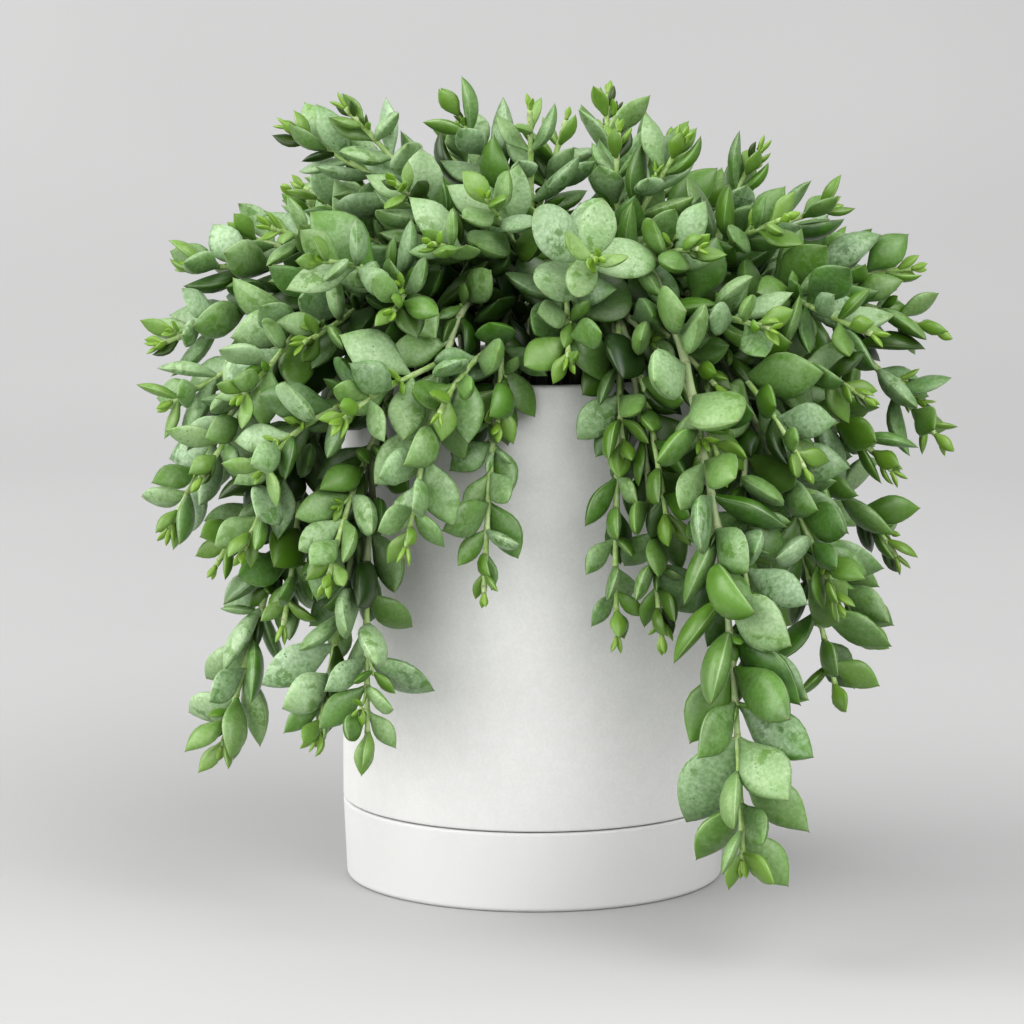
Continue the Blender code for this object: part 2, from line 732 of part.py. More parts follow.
def make_saucer(group, finish):
    inner = POT_RADIUS - SAUCER_WALL
    profile = [
        (0, SAUCER_FLOOR),
        (inner, SAUCER_FLOOR),
        (inner, SAUCER_TOP - EDGE_ROUND),
        (inner + EDGE_ROUND, SAUCER_TOP),
        (POT_RADIUS - EDGE_ROUND, SAUCER_TOP),
        (POT_RADIUS, SAUCER_TOP - EDGE_ROUND),
        (SAUCER_FOOT_RADIUS, FOOT_ROUND),
        (SAUCER_FOOT_RADIUS - FOOT_ROUND, 0),
        (0, 0),
    ]
    return turned("saucer", profile, group, finish, closed=False)


def make_pot(group, finish):
    """The pot steps in at its foot to stand inside the saucer, and has a drain hole in its floor."""
    foot = POT_RADIUS - SAUCER_WALL - FIT_GAP
    foot_bottom = SAUCER_FLOOR + FIT_GAP
    shoulder = SAUCER_TOP + SEAM
    floor = foot_bottom + POT_WALL
    inner = POT_RADIUS - POT_WALL
    profile = [
        (POT_RADIUS - RIM_ROUND, POT_TOP),
        (POT_RADIUS, POT_TOP - RIM_ROUND),
        (POT_RADIUS, shoulder + EDGE_ROUND),
        (POT_RADIUS - EDGE_ROUND, shoulder),
        (foot, shoulder),
        (foot, foot_bottom + EDGE_ROUND),
        (foot - EDGE_ROUND, foot_bottom),
        (DRAIN_RADIUS, foot_bottom),
        (DRAIN_RADIUS, floor),
        (foot - POT_WALL, floor),
        (foot - POT_WALL, shoulder),
        (inner, shoulder + POT_WALL),
        (inner, POT_TOP - RIM_ROUND),
        (inner + RIM_ROUND, POT_TOP),
    ]
    return turned("pot", profile, group, finish, closed=True)


def make_soil(group, cutters, shoots, finish):
    """The soil fills the pot up to 17 mm below its rim, with a plain hole for each rooted stem."""
    shoulder = SAUCER_TOP + SEAM
    bottom = SAUCER_FLOOR + 2 * FIT_GAP + POT_WALL
    wide = POT_RADIUS - POT_WALL - FIT_GAP
    narrow = POT_RADIUS - SAUCER_WALL - POT_WALL - 2 * FIT_GAP
    profile = [
        (0, SOIL_TOP),
        (wide, SOIL_TOP),
        (wide, shoulder + POT_WALL + FIT_GAP),
        (narrow, shoulder + FIT_GAP),
        (narrow, bottom),
        (0, bottom),
    ]
    soil = turned("soil", profile, group, finish, closed=False)
    holes = bmesh.new()
    depth = ROOT_DEPTH + FIT_GAP
    for s in shoots:
        if s.parent is None:
            place = Matrix.Translation(s.root + UP * SOIL_TOP)
            bmesh.ops.create_cone(holes, cap_ends=True, segments=6, radius1=HOLE_RADIUS,
                                  radius2=HOLE_RADIUS, depth=2 * depth, matrix=place)
    mesh = bpy.data.meshes.new("stem_holes")
    holes.to_mesh(mesh)
    holes.free()
    cutter = object_of("stem_holes", mesh, cutters)
    cutter.hide_render = True
    cutter.display_type = "WIRE"
    cut = soil.modifiers.new("Stem holes", "BOOLEAN")
    cut.operation = "DIFFERENCE"
    cut.object = cutter
    return soil


def make_section(group):
    """The three-sided section of the stems, of the same area as a round one 1 mm in radius."""
    curve = bpy.data.curves.new("stem_section", "CURVE")
    curve.dimensions = "2D"
    spline = curve.splines.new("POLY")
    spline.points.add(STEM_SIDES - 1)
    spline.use_cyclic_u = True
    radius = THREE_SIDED * MM
    for k, spot in enumerate(spline.points):
        angle = 2 * math.pi * k / STEM_SIDES
        spot.co = (radius * math.cos(angle), radius * math.sin(angle), 0, 1)
    section = object_of("stem_section", curve, group)
    section.hide_render = True
    section.display_type = "WIRE"
    return section


def make_stem(shoot, group, section):
    """The bare stem: the section drawn along the stem's route, which ends in a bud."""
    radii = stem_radii(shoot)
    points = [(shoot.route[i], radii[i]) for i in thinned(shoot.route, ROUTE_SLACK)]
    points.append((shoot.route[-1].lerp(shoot.bud_tip(), 0.35), BUD_RADIUS))
    points.append((shoot.bud_tip(), BUD_POINT_RADIUS))
    curve = bpy.data.curves.new(shoot.name, "CURVE")
    curve.dimensions = "3D"
    curve.twist_mode = "MINIMUM"
    curve.bevel_mode = "OBJECT"
    curve.bevel_object = section
    curve.use_fill_caps = True
    spline = curve.splines.new("POLY")
    spline.points.add(len(points) - 1)
    for spot, (place, radius) in zip(spline.points, points):
        spot.co = (*place, 1)
        spot.radius = radius / MM
    drawn = object_of(shoot.name, curve, group)
    bpy.context.view_layer.update()
    graph = bpy.context.evaluated_depsgraph_get()
    mesh = bpy.data.meshes.new_from_object(drawn.evaluated_get(graph))
    bpy.data.objects.remove(drawn)
    shape = bmesh.new()
    shape.from_mesh(mesh)
    bmesh.ops.remove_doubles(shape, verts=shape.verts, dist=0.00001)
    bmesh.ops.recalc_face_normals(shape, faces=shape.faces)
    shape.to_mesh(mesh)
    shape.free()
    return object_of(shoot.name, mesh, group)


def make_leaf(leaf, group):
    """A leaf from the plainest sphere: its equator becomes the outline, its poles the two faces."""
    shape = bmesh.new()
    bmesh.ops.create_uvsphere(shape, u_segments=6, v_segments=2, radius=1)
    for spot in shape.verts:
        x, y, z = spot.co
        if abs(z) > 0.5:
            share = UPPER_SHARE if z > 0 else UNDER_SHARE
            u = LEAF_CREST
            spot.co = leaf.centre(u) + leaf.upward(u) * math.copysign(leaf.half_thick(u) * share, z)
        elif y < -0.9:
            spot.co = leaf.base - leaf.along * LEAF_SINK
        elif y > 0.9:
            spot.co = leaf.centre(1.0)
        else:
            u = LEAF_STATIONS[0] if y < 0 else LEAF_STATIONS[1]
            spot.co = leaf.centre(u) + leaf.across * math.copysign(leaf.half_width(u), x)
    mesh = bpy.data.meshes.new("leaf")
    shape.to_mesh(mesh)
    shape.free()
    return object_of("leaf", mesh, group)


def keep_outer_skin(mesh):
    """Drops every skin but the largest: those of hollows that joining sealed, and of loose scraps."""
    shape = bmesh.new()
    shape.from_mesh(mesh)
    shape.verts.ensure_lookup_table()
    unseen = set(range(len(shape.verts)))
    skins = []
    while unseen:
        skin = set()
        ahead = [min(unseen)]
        while ahead:
            at = ahead.pop()
            if at in skin:
                continue
            skin.add(at)
            ahead += [edge.other_vert(shape.verts[at]).index for edge in shape.verts[at].link_edges]
        unseen -= skin
        skins.append(skin)
    largest = max(skins, key=len)
    bmesh.ops.delete(shape, geom=[v for v in shape.verts if v.index not in largest], context="VERTS")
    shape.to_mesh(mesh)
    shape.free()


def fused(name, first, others, group, finish):
    """The first object joined with those in the collection others, as one named body."""
    union = first.modifiers.new("Join", "BOOLEAN")
    union.operation = "UNION"
    union.operand_type = "COLLECTION"
    union.collection = others
    union.solver = JOIN_SOLVER
    thin = first.modifiers.new("Thin", "DECIMATE")
    thin.ratio = KEPT_SHARE
    thin.use_collapse_triangulate = True
    bpy.context.view_layer.update()
    graph = bpy.context.evaluated_depsgraph_get()
    mesh = bpy.data.meshes.new_from_object(first.evaluated_get(graph))
    for used in list(others.objects) + [first]:
        bpy.data.objects.remove(used)
    bpy.data.collections.remove(others)
    mesh.name = name
    keep_outer_skin(mesh)
    mesh.shade_smooth()
    mesh.set_sharp_from_angle(angle=math.radians(50))
    return object_of(name, mesh, group, finish)


def make_leafy_stem(root, shoots, section, group, finish):
    """A rooted stem with its forks and all their leaves, joined into one body."""
    pieces = collection("pieces")
    for s in shoots:
        if s is not root and s.parent == root.name:
            make_stem(s, pieces, section)
            for leaf in s.leaves:
                make_leaf(leaf, pieces)
    for leaf in root.leaves:
        make_leaf(leaf, pieces)
    return fused(root.name, make_stem(root, group, section), pieces, group, finish)


def main():
    for old in list(bpy.data.objects):
        bpy.data.objects.remove(old)
    bpy.context.scene.unit_settings.system = "METRIC"
    shoots = front_shoots() + back_shoots()
    grow(shoots)
    choose_leaves(shoots)
    group = collection("potted_cotyledon")
    cutters = collection("cutters")
    ceramic = material("matte_white_ceramic", (0.78, 0.77, 0.75), 0.75)
    peat = material("dark_soil", (0.025, 0.018, 0.012), 0.95)
    green = material("succulent_green", (0.16, 0.29, 0.14), 0.5)
    make_saucer(group, ceramic)
    make_pot(group, ceramic)
    make_soil(group, cutters, shoots, peat)
    section = make_section(cutters)
    for s in shoots:
        if s.parent is None:
            make_leafy_stem(s, shoots, section, group, green)


main()
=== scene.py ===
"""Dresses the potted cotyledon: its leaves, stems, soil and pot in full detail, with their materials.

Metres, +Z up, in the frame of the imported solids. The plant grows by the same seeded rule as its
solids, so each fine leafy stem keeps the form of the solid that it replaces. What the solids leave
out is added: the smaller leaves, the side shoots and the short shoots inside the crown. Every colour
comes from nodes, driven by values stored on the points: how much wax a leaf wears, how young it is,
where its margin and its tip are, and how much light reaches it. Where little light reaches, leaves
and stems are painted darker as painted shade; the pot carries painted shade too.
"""

import json
import math
import random
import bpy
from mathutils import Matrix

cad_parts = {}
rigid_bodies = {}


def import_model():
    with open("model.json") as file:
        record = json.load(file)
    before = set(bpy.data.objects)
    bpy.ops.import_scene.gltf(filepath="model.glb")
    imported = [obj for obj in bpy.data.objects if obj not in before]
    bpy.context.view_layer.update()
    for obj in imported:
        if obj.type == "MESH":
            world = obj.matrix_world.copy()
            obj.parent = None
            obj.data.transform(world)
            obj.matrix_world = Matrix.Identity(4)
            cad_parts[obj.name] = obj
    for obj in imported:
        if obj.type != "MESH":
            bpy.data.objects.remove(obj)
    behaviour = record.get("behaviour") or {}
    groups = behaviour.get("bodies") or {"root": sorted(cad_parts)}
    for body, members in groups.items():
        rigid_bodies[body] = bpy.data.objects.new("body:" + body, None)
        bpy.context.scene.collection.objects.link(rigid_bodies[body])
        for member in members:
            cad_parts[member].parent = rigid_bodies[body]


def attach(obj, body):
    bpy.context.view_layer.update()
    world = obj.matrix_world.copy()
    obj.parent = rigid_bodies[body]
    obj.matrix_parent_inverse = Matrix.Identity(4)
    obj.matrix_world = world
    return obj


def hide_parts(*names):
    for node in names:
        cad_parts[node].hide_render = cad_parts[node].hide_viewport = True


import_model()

from types import SimpleNamespace

import bmesh
import bpy
from mathutils import Matrix, Quaternion, Vector, kdtree, noise
from mathutils.bvhtree import BVHTree

MM = 0.001
UP = Vector((0, 0, 1))

# The pot, its saucer and the soil.
POT_RADIUS = 75 * MM
POT_TOP = 201 * MM
POT_WALL = 5.5 * MM
RIM_ROUND = 1.6 * MM
EDGE_ROUND = 0.9 * MM
STEP_ROUND = 0.3 * MM
DRAIN_RADIUS = 6 * MM
SEAM = 0.45 * MM
FIT_GAP = 0.3 * MM
SAUCER_TOP = 31 * MM
SAUCER_FLOOR = 5 * MM
SAUCER_WALL = 5.2 * MM
SAUCER_FOOT_RADIUS = 73.6 * MM
SAUCER_EDGE_ROUND = 1.1 * MM
SAUCER_INNER_ROUND = 1 * MM
FOOT_ROUND = 1.8 * MM
TURNED_SIDES = 192
ARC_CUTS = 6
FLAT_MARGIN = 0.6 * MM
FLAT_MARGIN_SHARE = 0.2
SOIL_TOP = 184 * MM
SOIL_RINGS = 46
SOIL_SIDES = 120
SOIL_ROUGHNESS = 90
SOIL_FRACTAL = (0.9, 2.1, 4)
SOIL_RELIEF = 1.2 * MM
SOIL_SINKS = 1.5 * MM
CRUMBS = 900
CRUMB_RATE = 1.2
CRUMB_SIZES = (0.6, 2.6)
CRUMB_SUNK = 0.2
CRUMB_ROUGHNESS = 0.16
CRUMB_TURN = 6
CRUMBS_OFF_WALL = 3 * MM

# Stems: how thick, how deep they root and how far they keep apart.
STEM_TIP_RADIUS = 0.95 * MM
STEM_BASE_RADIUS = 1.6 * MM
STEM_THICKENING = 180 * MM
STEM_CLEARANCE = 0.9 * MM
THREE_SIDED = 1.56
ROOT_DEPTH = 13 * MM
ROOT_SPACING = 8.5 * MM
ROOT_RING = 46 * MM
ROOT_REACH = 0.36
ROOT_ROUNDS = 60
ROUTE_STEP = 4 * MM
LEAST_STRETCHES = 4
ROUTE_DETAIL = 60
ROUTE_SLACK = 1.1 * MM
ROOTED_POINTS = 5
BENDING_ROUNDS = 60
BENDING_REACH = 1.3
BENDING_EASE = 0.25
BUD_LENGTH = 10 * MM
BUD_RADIUS = 2.2 * MM
RIM_CLEARANCE = 3.4 * MM
ENVELOPE_SIDES = 8

# How far a stem's curve keeps its first and last direction, as shares of its span. A stem that hangs
# rises further first and falls longer. A fork's first way is part its parent's, part to its own tip.
STEM_RISE = 0.42
STEM_TRAIL = 0.45
FORK_RISE = 0.32
FORK_TRAIL = 0.42
HANGING_RISE = 62 * MM
HANGING_TRAIL = 0.6
FORK_HANGING_TRAIL = 0.1
FORK_REACH = 4
PARENT_WAY = 0.8
OWN_WAY = 0.7

# Leaf pairs, counted from a shoot's tip: the gap before each, in mm, and the length of its leaves.
PAIR_GAPS = (2.0, 3.2, 5.0, 7.5, 9.5, 11, 12)
LEAF_LENGTHS = (5.5, 9.5, 14.5, 20, 24.5, 27, 28)
YOUNG_PAIRS = 3
TIP_RIPENESS = (0, 0, 1, 2)
FIRST_GAP = 2.5 * MM
BARE_FOOT = 40 * MM
BARE_FORK = 8 * MM
GAP_BY_SIZE = 0.25

# Leaf form, as shares of a leaf's length, and how far single leaves stray from it.
LEAF_ASPECT = 0.54
LEAF_PLUMPNESS = 0.2
UPPER_SHARE = 0.82
UNDER_SHARE = 1.18
NECK_RADIUS = 1.05 * MM
FLAT_NECK = 0.85
WIDEST_LATE = 1.18
THICKEST_LATE = 1.05
THICK_BLUNT = 0.62
LENGTH_SPREAD = (0.82, 1.18)
WIDTH_SPREAD = (0.84, 1.16)
THICK_SPREAD = (0.85, 1.2)
BLUNT_SPREAD = (0.82, 1.15)
CAGE_STATIONS = (0.3, 0.5, 0.7, 0.88)
CAGE_START = 0.14

# How leaves are held: shares of the way, of 1 at the leaf's full age, and spreads in radians.
YOUNG_OPENING = 0.45
YOUNG_WIDTH = 0.74
LIGHT_PULL = 0.26
SAG = 0.22
FACING_STEM = 0.45
FACING_LIGHT = 0.75
TURN_SPREAD = 0.14
OPENING_SPREAD = 0.16
ROLL_SPREAD = 0.35
USUAL_CURL = 0.25
CURL_SPREAD = 0.45
LEAST_CURL = 1e-4
SWEEP_SPREAD = 0.07

# Any two ways, one to start from where a stem is level and one where it is steep.
STEEP = 0.7
LEVEL_START = Vector((0.31, 0.17, 0.93))
STEEP_START = Vector((0.9, 0.38, 0.2))

# Where leaves may be, and where their light comes from.
LEAF_CLEARANCE = 0.25 * MM
POT_CLEARANCE = 1.2 * MM
FLOOR_CLEARANCE = 5 * MM
SHADE_RADIUS = 58 * MM
SHADE_HEIGHT = 46 * MM
CROWN_CENTRE_Z = 176 * MM
CROWN_HEIGHT = 75 * MM
SIDE_LIGHT_LOSS = 0.35
LIGHT_RISE = 0.15
TOP_LIGHT_RISE = 1.1

# Where a leaf may go, in the order tried: turned about the stem, opened from it and twisted, in
# degrees, and its size.
LEAF_TRIES = (
    (0, 0, 0, 1.0), (12, 8, 10, 1.0), (-12, 8, -10, 1.0), (0, -14, 20, 1.0), (0, 20, -20, 0.97),
    (26, 0, 25, 0.95), (-26, 0, -25, 0.95), (18, 24, 0, 0.92), (-18, 24, 0, 0.92), (0, -24, 0, 0.9),
    (38, 10, 40, 0.88), (-38, 10, -40, 0.88), (20, -20, 45, 0.85), (-20, -20, -45, 0.85),
    (50, 5, 0, 0.8), (-50, 5, 0, 0.8), (10, 30, 30, 0.76), (-10, 30, -30, 0.76), (0, 0, 60, 0.7),
    (30, -25, -50, 0.66), (-30, -25, 50, 0.66),
)

# The stems at the front: the tip, in mm, and its dip, then for each fork also where it leaves its stem.
FRONT_STEMS = (
    ("crown_left", (-72, -30, 302, 42), (-95, -5, 293, 35, 0.62), (-52, -72, 276, 30, 0.45)),
    ("left_high", (-118, 0, 252, 12), (-143, -32, 212, -15, 0.55), (-100, -45, 258, 15, 0.5),
     (-131, -12, 240, 5, 0.62), (-86, -86, 218, -15, 0.4)),
    ("left", (-138, -58, 145, -62), (-137, -48, 192, -30, 0.6), (-124, -85, 168, -48, 0.55),
     (-108, -94, 200, -32, 0.45)),
    ("left_tail", (-118, -72, 64, -72), (-120, -66, 132, -66, 0.55), (-94, -84, 112, -74, 0.6),
     (-108, -95, 142, -64, 0.5)),
    ("front_left_tail", (-81, -98, 72, -74), (-62, -108, 74, -80, 0.58), (-100, -110, 174, -55, 0.45),
     (-76, -112, 134, -72, 0.52)),
    ("front_left", (-47, -125, 148, -64), (-70, -120, 194, -42, 0.6)),
    ("front_left_high", (-78, -100, 250, 5), (-52, -108, 232, -10, 0.6)),
    ("front", (-19, -105, 128, -78), (-35, -120, 196, -50, 0.48), (-14, -98, 190, -58, 0.45)),
    ("rosette", (22, -118, 252, -6), (12, -98, 214, -48, 0.55)),
    ("long_tail", (74, -160, 40, -78), (84, -124, 84, -78, 0.62)),
    ("front_right", (48, -112, 156, -70), (32, -100, 182, -60, 0.55), (66, -98, 204, -30, 0.42),
     (67, -120, 176, -62, 0.5), (46, -114, 114, -74, 0.62), (30, -106, 112, -78, 0.5)),
    ("right_front", (111, -112, 125, -58), (77, -128, 122, -68, 0.62), (85, -118, 227, -5, 0.4),
     (98, -112, 175, -54, 0.5), (122, -86, 198, -30, 0.44)),
    ("right_tail", (114, -62, 84, -76), (124, -42, 104, -70, 0.72), (135, -50, 166, -58, 0.5),
     (139, -30, 130, -66, 0.6)),
    ("right", (155, -2, 214, -22), (146, 2, 238, 5, 0.62), (124, -90, 222, -12, 0.45),
     (156, -16, 174, -48, 0.55)),
    ("right_high", (113, 0, 262, 18), (86, -12, 284, 38, 0.6), (92, -62, 262, 20, 0.55)),
    ("crown_right", (55, -52, 290, 52), (32, -20, 292, 65, 0.6), (60, -95, 254, 8, 0.45)),
    ("crown", (-2, -40, 302, 66), (12, -8, 296, 76, 0.62), (-30, -10, 300, 66, 0.58),
     (-18, -84, 272, 32, 0.45), (-38, -98, 256, 12, 0.4)),
)
ODD_SHOOTS = {
    "stem_crown_left": {"spread": 55},
    "front_left_tail_b": {"turn": 30},
    "stem_front_left_high": {"size": 1.05},
    "stem_front": {"size": 0.78},
    "stem_rosette": {"size": 0.98, "spread": 80, "aspect": 1.34, "blunt": 0.6, "ripe": 0},
    "stem_long_tail": {"turn": -20, "size": 1.2, "ripe": 2},
    "front_right_e": {"size": 0.9},
    "front_right_f": {"size": 0.78},
}

# The stems behind. Each kind has the reach, the height and the dip of its tip, and how much higher
# the tips of its two forks are, with their dips. Each fork's swing, reach and place are the same.
# The spreads are how far single stems and forks stray from this, in degrees and mm.
BACK_STEMS = 9
BACK_ARC = (8, 164)
BACK_KINDS = (
    (118, 112, -72, ((58, -42), (-38, -74))),
    (128, 196, -32, ((44, 12), (62, 30))),
    (92, 276, 30, ((-34, 0), (14, 55))),
)
BACK_FORKS = (("b", -11, 8, 0.5), ("c", 12, -22, 0.58))
BACK_SWING_SPREAD = 4
BACK_REACH_SPREAD = 8
BACK_HEIGHT_SPREAD = 14
FORK_REACH_SPREAD = 6
FORK_HEIGHT_SPREAD = 10

# The two materials of a leafy piece, by their place in it.
LEAF_KIND = 0
STEM_KIND = 1

# Fine leaves: how many corners, and an outline that rises from a wedge and falls to a point.
BIG_LEAF = 16 * MM
LEAF_SIDES = 14
YOUNG_LEAF_SIDES = 10
LEAF_STATIONS = (0.05, 0.13, 0.24, 0.36, 0.48, 0.6, 0.71, 0.81, 0.89, 0.95, 0.985)
YOUNG_LEAF_STATIONS = (0.08, 0.22, 0.38, 0.54, 0.7, 0.83, 0.93, 0.98)
LEAF_EDGE = 1.12
SWELLING = 1.2
FINE_SWEEP = 0.5
FINE_WIDEST = 0.54
BASE_WEDGE = 1.32
LEAST_WEDGE = 0.6
END_POINT = 0.88
LEAST_POINT = 0.5
BROAD_SHARE = 0.56
BROAD_ROUNDS = 1.6
THICKNESS_RUNS_OUT = 0.8
NIB_LENGTH = 0.4 * MM
LONGEST_NIB = 1.2
NIB_START = 0.96
TIP_START = 0.955
TIP_SPAN = 0.03
UNDER_SIDE_GAIN = 2.5

# Wax: what deep shade leaves of it, which paints shade by darkening the leaves that little light reaches,
# how many leaves wear much, and how the sun adds to it, partly as real bloom and partly as painted light
# that pales the leaves on the lit left and top.
SHADED_WAX = 0.2
WAXY_SHARE = 0.58
SUNNY_WIDTH = 320 * MM
SUNNY_HEIGHT = 250 * MM
SHADY_WAX = 0.7
SUN_WAX = 0.5
ROSETTE_WAX = (0.62, 0.82)
HIGH_WAX = (0.55, 0.85)
LOW_WAX = (0.25, 0.55)
WAXLESS_PAIRS = 2
WAXING_PAIRS = 4
YOUTH_PAIRS = 3.2
YOUTH_FADE = 0.8

# Fine stems.
STEM_SIDES = 9
STEM_CUTS = 3
NODE_SWELL = 0.24
NODE_REACH = 1.5 * MM
YOUNG_STEM = 70 * MM
LEAST_OPENNESS = 0.15
OPENNESS_WINDOW = 3

# The small leaves of buds: spans to draw from, and shares of their length.
SMALL_WIDTHS = (0.4, 0.52)
SMALL_CURLS = (-0.5, 0.1)
SMALL_THICKNESS = 0.22
SMALL_BLUNT = 0.95
SMALL_OFFSET = 0.3 * MM
SMALL_FACING = 0.3
BUD_LEAVES = (5.5, 8.0)
BUD_OPENING = 0.18

# Side shoots: how much a stalk leans to its leaf and its size, in the order tried. Then in rounds, the
# share of leaves with one, the first pair with them, the length of their leaves and stalks in mm, and
# how young they are. A young one has a bud and no wax. The rest is shares of the stalk's reach.
SPROUT_TRIES = ((0.45, 1.0), (0.7, 1.0), (0.3, 0.7), (0.6, 0.6), (0.5, 0.35))
SPROUT_ROUNDS = (
    (0.6, 3, (16, 23), (3, 8), 0.05),
    (0.4, 4, (10, 15), (3, 8), 0.2),
    (0.13, 3, (5, 8.5), (4, 12), 0.9),
)
INNER_SIDE = 0.45
YOUNG_SPROUT = 0.6
SPROUT_KNEES = (0.35, 0.7)
SPROUT_LIFT = 0.3
SPROUT_BEND = 0.25
SPROUT_OPENINGS = (0.45, 0.9)
SPROUT_BUDS = (3.5, 5)
SPROUT_BUD_OPENING = 0.2
SPROUT_WAXES = (0.1, 0.8)
SPROUT_YOUTHS = (0.7, 1.0)
SPROUT_CUTS = 5
SPROUT_SIDES = 6
SPROUT_RADIUS = 0.8
SPROUT_TAPER = 0.05

# Inner shoots: how many places are tried, how far out and how high, and how far in they root.
INNER_SPOTS = 44
INNER_REACH = 66 * MM
INNER_HEIGHTS = (262 * MM, 284 * MM)
INNER_FALL = 0.55
INNER_LEAN = 38
INNER_SIZE = 0.8
INNER_ROOTS = (0.8, 0.65, 0.5, 0.9, 0.35)
INNER_LEAST_LEAVES = 4
GOLDEN_ANGLE = 2.39996

# How the light on each leaf is judged: by rays to the sky, and how far off a leaf can bar them.
LIGHT_WAYS = 80
LIGHT_START = 1.2 * MM
LIGHT_REACH = 55 * MM
LIGHT_GAIN = 1.4
LIGHT_CONE = 0.2
STEM_LIGHT_START = 3 * MM
LEAF_MIDDLE = 0.6
OFF_LEAF = 0.6
WALL_SIDES = 24
WALL_STATIONS = (0.2, 0.6, 0.99)

# Colours, as a screen shows them.
FLESH_DARK = (42, 80, 14)
FLESH = (72, 118, 28)
FLESH_WARM = (98, 134, 38)
BLOOM_DARK = (144, 172, 136)
BLOOM = (184, 206, 174)
BLOOM_WARM = (142, 170, 110)
YOUNG_BASE = (142, 172, 82)
YOUNG = (110, 146, 42)
# The pale margin colour, partly the leaf's own and partly a painted rim highlight.
PALE_MARGIN_AND_RIM_HIGHLIGHT = (205, 222, 178)
TIP = (96, 82, 48)
# Painted shade colour, for leaves that little light reaches.
DEEP_SHADE = (16, 36, 6)
STEM_OLD = (146, 164, 120)
STEM_TAN = (158, 170, 130)
STEM_YOUNG = (146, 176, 98)
STEM_PALE = (178, 196, 146)
# Near black painted shade colour, for stems that little light reaches.
STEM_PAINTED_SHADE = (26, 32, 14)
STEM_SCAR = (106, 96, 58)
POT_SHADE = (207, 207, 206)
POT_WHITE = (212, 212, 211)
POT_LIGHT = (224, 224, 223)
# Painted contact shade, darker towards the bottom of the pot and saucer.
POT_PAINTED_LOW_SHADE = (198, 198, 197)
# Near black painted shade for the pot's inside wall above the soil.
POT_INSIDE_PAINTED_SHADE = (38, 34, 28)
POT_PIT = (196, 194, 189)
SOIL_DARK = (30, 23, 18)
SOIL_BROWN = (62, 48, 36)
SOIL_GRIT = (112, 98, 80)
FLOOR_SHADE = (170, 170, 170)
FLOOR = (176, 176, 176)

# How far the fine dry grain darkens the pot.
POT_GRAIN = 0.24

# The studio. Each light has its place, what it aims at, its two sizes, its power and its tint. The
# camera's distance to its picture is in pixels of the photograph, and its sensor's width in mm.
FLOOR_FRONT = -4
FLOOR_BACK = 1.2
FLOOR_HALF_WIDTH = 5
BACKDROP_BEND = 1.9
BACKDROP_TOP = 4.5
BACKDROP_CUTS = 24
WORLD_STRENGTH = 0.74
LIGHTS = {
    "key": ((-2.26, -0.4, 1.4), (0, 0, 0.16), (2.4, 2.4), 54, (1, 0.99, 0.985)),
    "front": ((-1.2, -2.25, 0.7), (0, 0, 0.16), (2, 1.2), 16, (1, 1, 1)),
    "right": ((0.93, -2.0, 1.54), (0, 0, 0.16), (2, 2), 27, (1, 1, 1)),
    "wall": ((-1.0, 1.0, 2.6), (-0.8, 3.0, 0.6), (2.4, 0.8), 21, (1, 1, 1)),
    "high": ((1.17, -0.98, 2.26), (0, 0, 0.16), (2, 2), 22, (1, 1, 1)),
}
CAMERA_PLACE = (-0.0087, -1.7392, 0.3935)
CAMERA_TILT = 81.8
CAMERA_PIXELS = 4500
PHOTO_WIDTH = 1024
SENSOR_WIDTH = 36
CAMERA_SIGHT = 50


def clamp(value):
    return min(max(value, 0.0), 1.0)


def turns(count):
    """The angles of a full turn cut into equal parts."""
    return [2 * math.pi * k / count for k in range(count)]


def linked(name, data):
    """A new object in the scene."""
    made = bpy.data.objects.new(name, data)
    bpy.context.scene.collection.objects.link(made)
    return made


class Shoot:
    """A stem and its leaves. tip is in mm, and dip says which way the tip points in degrees: 90 is
    up, 0 outward, -90 down. A shoot with a parent forks from it, at the share fork of its length.
    ripe is how many of the youngest pairs its tip has outgrown."""

    def __init__(self, name, tip, dip, parent=None, fork=0.5, turn=0, size=1.0, spread=54,
                 aspect=1.0, blunt=1.08, ripe=None):
        self.name = name
        self.tip = Vector(tip) * MM
        self.dip = math.radians(dip)
        self.parent = parent
        self.fork = fork
        self.turn = math.radians(turn)
        self.size = size
        self.spread = math.radians(spread)
        self.aspect = aspect
        self.blunt = blunt
        draw = random.Random(name)
        self.phase = draw.uniform(0, math.pi)
        self.ripe = draw.choice(TIP_RIPENESS) if ripe is None else ripe
        self.root = None
        self.trunk = None
        self.trunk_at = 0
        self.held = 1 if parent else ROOTED_POINTS
        self.route = []
        self.places = []
        self.leaves = []

    def bud_tip(self):
        return self.route[-1] + (self.route[-1] - self.route[-2]).normalized() * BUD_LENGTH


